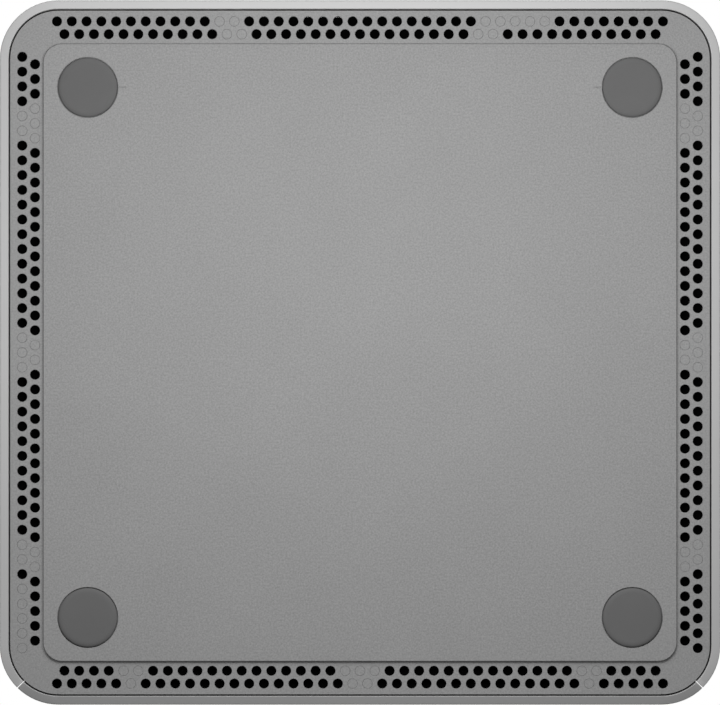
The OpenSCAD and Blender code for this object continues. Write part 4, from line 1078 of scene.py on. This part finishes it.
def makeFanRotor():
    low, high = nodeBox("fan_rotor")
    look = fanLook
    bottom, top = low.z + 0.6, high.z
    bm = bmesh.new()
    hub, cap = look["hub"], look["cap"]
    rim = arc(cap, (hub - cap, top - bottom - cap), 0, 90, 5)
    tall = top - bottom
    lathe(bm, [(hub - 1.5, 0.2), (hub - 1.3, 0), (hub - 0.2, 0), (hub, 0.2)] + rim
          + [(9, tall), (8.7, tall - 0.2), (0, tall - 0.2)], (0, 0, bottom), "Z", 72)
    lathe(bm, [(0, tall - 1.5), (hub - 1.5, tall - 1.5), (hub - 1.5, 0.2)], (0, 0, bottom), "Z", 72)
    shaft = top - low.z - 1.6
    lathe(bm, [(0, 0), (0.85, 0), (1, 0.15), (1, shaft), (0, shaft)], (0, 0, low.z), "Z", 24)
    bmesh.ops.remove_doubles(bm, verts=bm.verts, dist=1e-3)
    steps = 10
    for i in range(look["blades"]):   # each blade sweeps backwards as it nears the tip
        start = 2 * math.pi * i / look["blades"]
        inner, outer = [], []
        for k in range(steps + 1):
            share = k / steps
            reach = hub - 0.6 + (look["tip"] - hub + 0.6) * share
            angle = start - math.radians(look["sweep"]) * share ** 1.4
            half = look["thick"] * (1 - 0.4 * share) / 2
            out = Vector((math.cos(angle), math.sin(angle), 0))
            side = Vector((-out.y, out.x, 0))
            lean = (out * math.sin(math.radians(55) * share) + side * math.cos(math.radians(55) * share))
            inner.append(out * reach - lean * half)
            outer.append(out * reach + lean * half)
        face = bm.faces.new([bm.verts.new((p.x, p.y, bottom + 0.3)) for p in inner + outer[::-1]])
        up = bmesh.ops.extrude_face_region(bm, geom=[face], use_keep_orig=True)
        bmesh.ops.translate(bm, vec=(0, 0, top - bottom - 0.5), verts=vertsOf(up))
    bmesh.ops.recalc_face_normals(bm, faces=bm.faces)
    finishPiece("fanRotor", bm, "fan_rotor")


def makeFanMotor():
    low, high = nodeBox("fan_motor")
    bm, coils = bmesh.new(), bmesh.new()
    tall = high.z - low.z
    lathe(bm, [(1.04, 0.8), (1.04, tall), (2.6, tall), (2.8, tall - 0.2), (2.8, 1.2), (10.8, 1.2),
               (11, 1), (11, 0.2), (10.8, 0), (0, 0)], (0, 0, low.z), "Z", 56)
    lathe(bm, [(0, 0.8), (1.04, 0.8)], (0, 0, low.z), "Z", 56)
    for i in range(9):
        angle = 2 * math.pi * i / 9
        turn = Matrix.Rotation(angle, 3, "Z")
        verts = addBox(bm, (8.2, 1.3, tall - 2.4), (6.7, 0, low.z + tall / 2 + 0.7))
        bmesh.ops.rotate(bm, cent=(0, 0, 0), matrix=turn, verts=verts)
        before = set(coils.verts)
        easedBox(coils, (4.6, 3.1, tall - 1.7), (6.4, 0, low.z + tall / 2 + 0.6), 0.7, 3)
        made = [v for v in coils.verts if v not in before]
        bmesh.ops.rotate(coils, cent=(0, 0, 0), matrix=turn, verts=made)
    finishPiece("fanMotor", bm, "fan_motor")
    trim("motorCoils", coils, "case", "copper")


easedNodes = {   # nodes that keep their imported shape, with the width of their eased edges
    "cover_screws": 0.07, "board_screws": 0.06, "cooler_screws": 0.06, "fan_screws": 0.06,
    "card_screws": 0.05,
    "dust_filter": 0.06, "cold_plate": 0.2, "heat_pipes": 0.6, "heat_sink": 0.06, "cooler_standoffs": 0.12,
    "fan_housing": 0.15, "fan_cover": 0.08, "fan_header": 0.12, "fan_plug": 0.12, "drive_socket": 0.15,
    "drive_pad": 0.2, "drive_heat_sink": 0.15, "wireless_socket": 0.15, "card_standoffs": 0.12,
    "left_antenna": 0.1, "right_antenna": 0.1, "coin_cell_holder": 0.15, "coin_cell": 0.25,
    "button_guide": 0.12, "button_switch": 0.15, "switch_plunger": 0.25,
}
leads = ("fan_lead", "left_antenna_lead", "right_antenna_lead")


makeButton()
makeLightPipe()
makeHeadsetSocket()
makeUsbSockets()
makeVideoSockets()
makeNetworkSocket()
makePowerSocket()
print("sockets and button made")
makeBoard()
makeProcessor()
makeMemory("inner_memory_module", "inner_memory_socket")
makeMemory("outer_memory_module", "outer_memory_socket")
makeDriveCard()
makeWirelessCard()
makeCapacitors()
makeChokes()
print("board and cards made")
makeFanRotor()
makeFanMotor()
for node, edge in easedNodes.items():
    refine(node, edge, segments=4 if node == "heat_pipes" else 2)
for node in leads:
    refine(node, 0, sharp=75)
print("cooler, screws and small pieces made")


# stage, light and camera

def makeStage():
    bm = bmesh.new()
    bmesh.ops.create_grid(bm, x_segments=1, y_segments=1, size=3)
    mesh = bpy.data.meshes.new("floor")
    bm.to_mesh(mesh)
    bm.free()
    floor = bpy.data.objects.new("floor", mesh)
    bpy.context.scene.collection.objects.link(floor)
    material = bpy.data.materials.new("floorPaper")
    material.use_nodes = True
    tree = material.node_tree
    tree.nodes.clear()
    output = tree.nodes.new("ShaderNodeOutputMaterial")
    paper = tree.nodes.new("ShaderNodeBsdfDiffuse")
    paper.inputs["Color"].default_value = (0.86, 0.86, 0.86, 1)
    through = tree.nodes.new("ShaderNodeBsdfTransparent")
    mix = tree.nodes.new("ShaderNodeMixShader")
    path = tree.nodes.new("ShaderNodeLightPath")
    side = tree.nodes.new("ShaderNodeNewGeometry")
    front = tree.nodes.new("ShaderNodeMath")
    front.operation = "SUBTRACT"
    front.use_clamp = True
    tree.links.new(path.outputs["Is Camera Ray"], front.inputs[0])
    tree.links.new(side.outputs["Backfacing"], front.inputs[1])
    tree.links.new(front.outputs[0], mix.inputs[0])
    tree.links.new(through.outputs[0], mix.inputs[1])
    tree.links.new(paper.outputs[0], mix.inputs[2])
    tree.links.new(mix.outputs[0], output.inputs["Surface"])
    mesh.materials.append(material)
    return floor


lamps = {
    "underKey": {"at": (0, -0.6, -0.6), "size": (0.8, 0.4), "power": 2.35},
    "underPool": {"at": (0, -0.035, -0.15), "size": (0.14, 0.05), "power": 0.165},
    "overKey": {"at": (-0.55, -0.75, 0.85), "size": (0.7, 0.7), "power": 4.5},
    "overFill": {"at": (0.8, -0.3, 0.6), "size": (0.7, 0.7), "power": 2.0},
    "overBack": {"at": (0.1, 0.9, 0.7), "size": (0.8, 0.5), "power": 2.5},
}
backdrop = {"soft": 0.235, "upper": 0.5, "shown": 1.0}   # light around, share from above, white seen


def makeLamps():
    for name, lamp in lamps.items():
        data = bpy.data.lights.new(name, "AREA")
        data.shape = "RECTANGLE"
        data.size, data.size_y = lamp["size"]
        data.energy = lamp["power"]
        thing = bpy.data.objects.new(name, data)
        thing.location = lamp["at"]
        aim = Vector((0, 0, 0.02)) - thing.location
        thing.rotation_euler = aim.to_track_quat("-Z", "Y").to_euler()
        thing.visible_camera = False
        bpy.context.scene.collection.objects.link(thing)


def blend(tree, operation, first, second):
    node = tree.nodes.new("ShaderNodeMath")
    node.operation = operation
    node.use_clamp = True
    tree.links.new(first, node.inputs[0])
    tree.links.new(second, node.inputs[1])
    return node.outputs[0]


def makeWorld():
    world = bpy.data.worlds.new("studio")
    bpy.context.scene.world = world
    world.use_nodes = True
    tree = world.node_tree
    tree.nodes.clear()
    output = tree.nodes.new("ShaderNodeOutputWorld")
    soft = tree.nodes.new("ShaderNodeBackground")
    soft.inputs["Color"].default_value = (*(backdrop["soft"],) * 3, 1)
    white = tree.nodes.new("ShaderNodeBackground")
    white.inputs["Color"].default_value = (*(backdrop["shown"],) * 3, 1)
    path = tree.nodes.new("ShaderNodeLightPath")
    direction = tree.nodes.new("ShaderNodeSeparateXYZ")
    tree.links.new(tree.nodes.new("ShaderNodeTexCoord").outputs["Generated"], direction.inputs[0])
    high = spread(tree, direction.outputs["Z"], 0.1, 0.45, 0, 1)   # gloss shows the white above the table
    shiny = blend(tree, "ADD", path.outputs["Is Glossy Ray"], path.outputs["Is Transmission Ray"])
    upper = spread(tree, shiny, 0, 1, backdrop["upper"], 1)
    seen = blend(tree, "ADD", path.outputs["Is Camera Ray"], blend(tree, "MULTIPLY", upper, high))
    mix = tree.nodes.new("ShaderNodeMixShader")
    tree.links.new(seen, mix.inputs[0])
    tree.links.new(soft.outputs[0], mix.inputs[1])
    tree.links.new(white.outputs[0], mix.inputs[2])
    tree.links.new(mix.outputs[0], output.inputs["Surface"])


view = {"distance": 2.0, "widthSeen": 0.1349}


def makeCamera():
    data = bpy.data.cameras.new("camera")
    data.sensor_width = 36
    data.lens = 36 * view["distance"] / view["widthSeen"]
    data.clip_start = 0.01
    data.clip_end = 20
    camera = bpy.data.objects.new("camera", data)
    camera.location = (0, 0, case["rim"] * mm - view["distance"])
    camera.rotation_euler = (math.pi, 0, 0)   # looks straight up, with the front edge at the top
    bpy.context.scene.collection.objects.link(camera)
    bpy.context.scene.camera = camera


makeStage()
makeLamps()
makeWorld()
makeCamera()
bpy.context.scene.view_settings.view_transform = "Standard"
print("stage, lamps and camera ready")
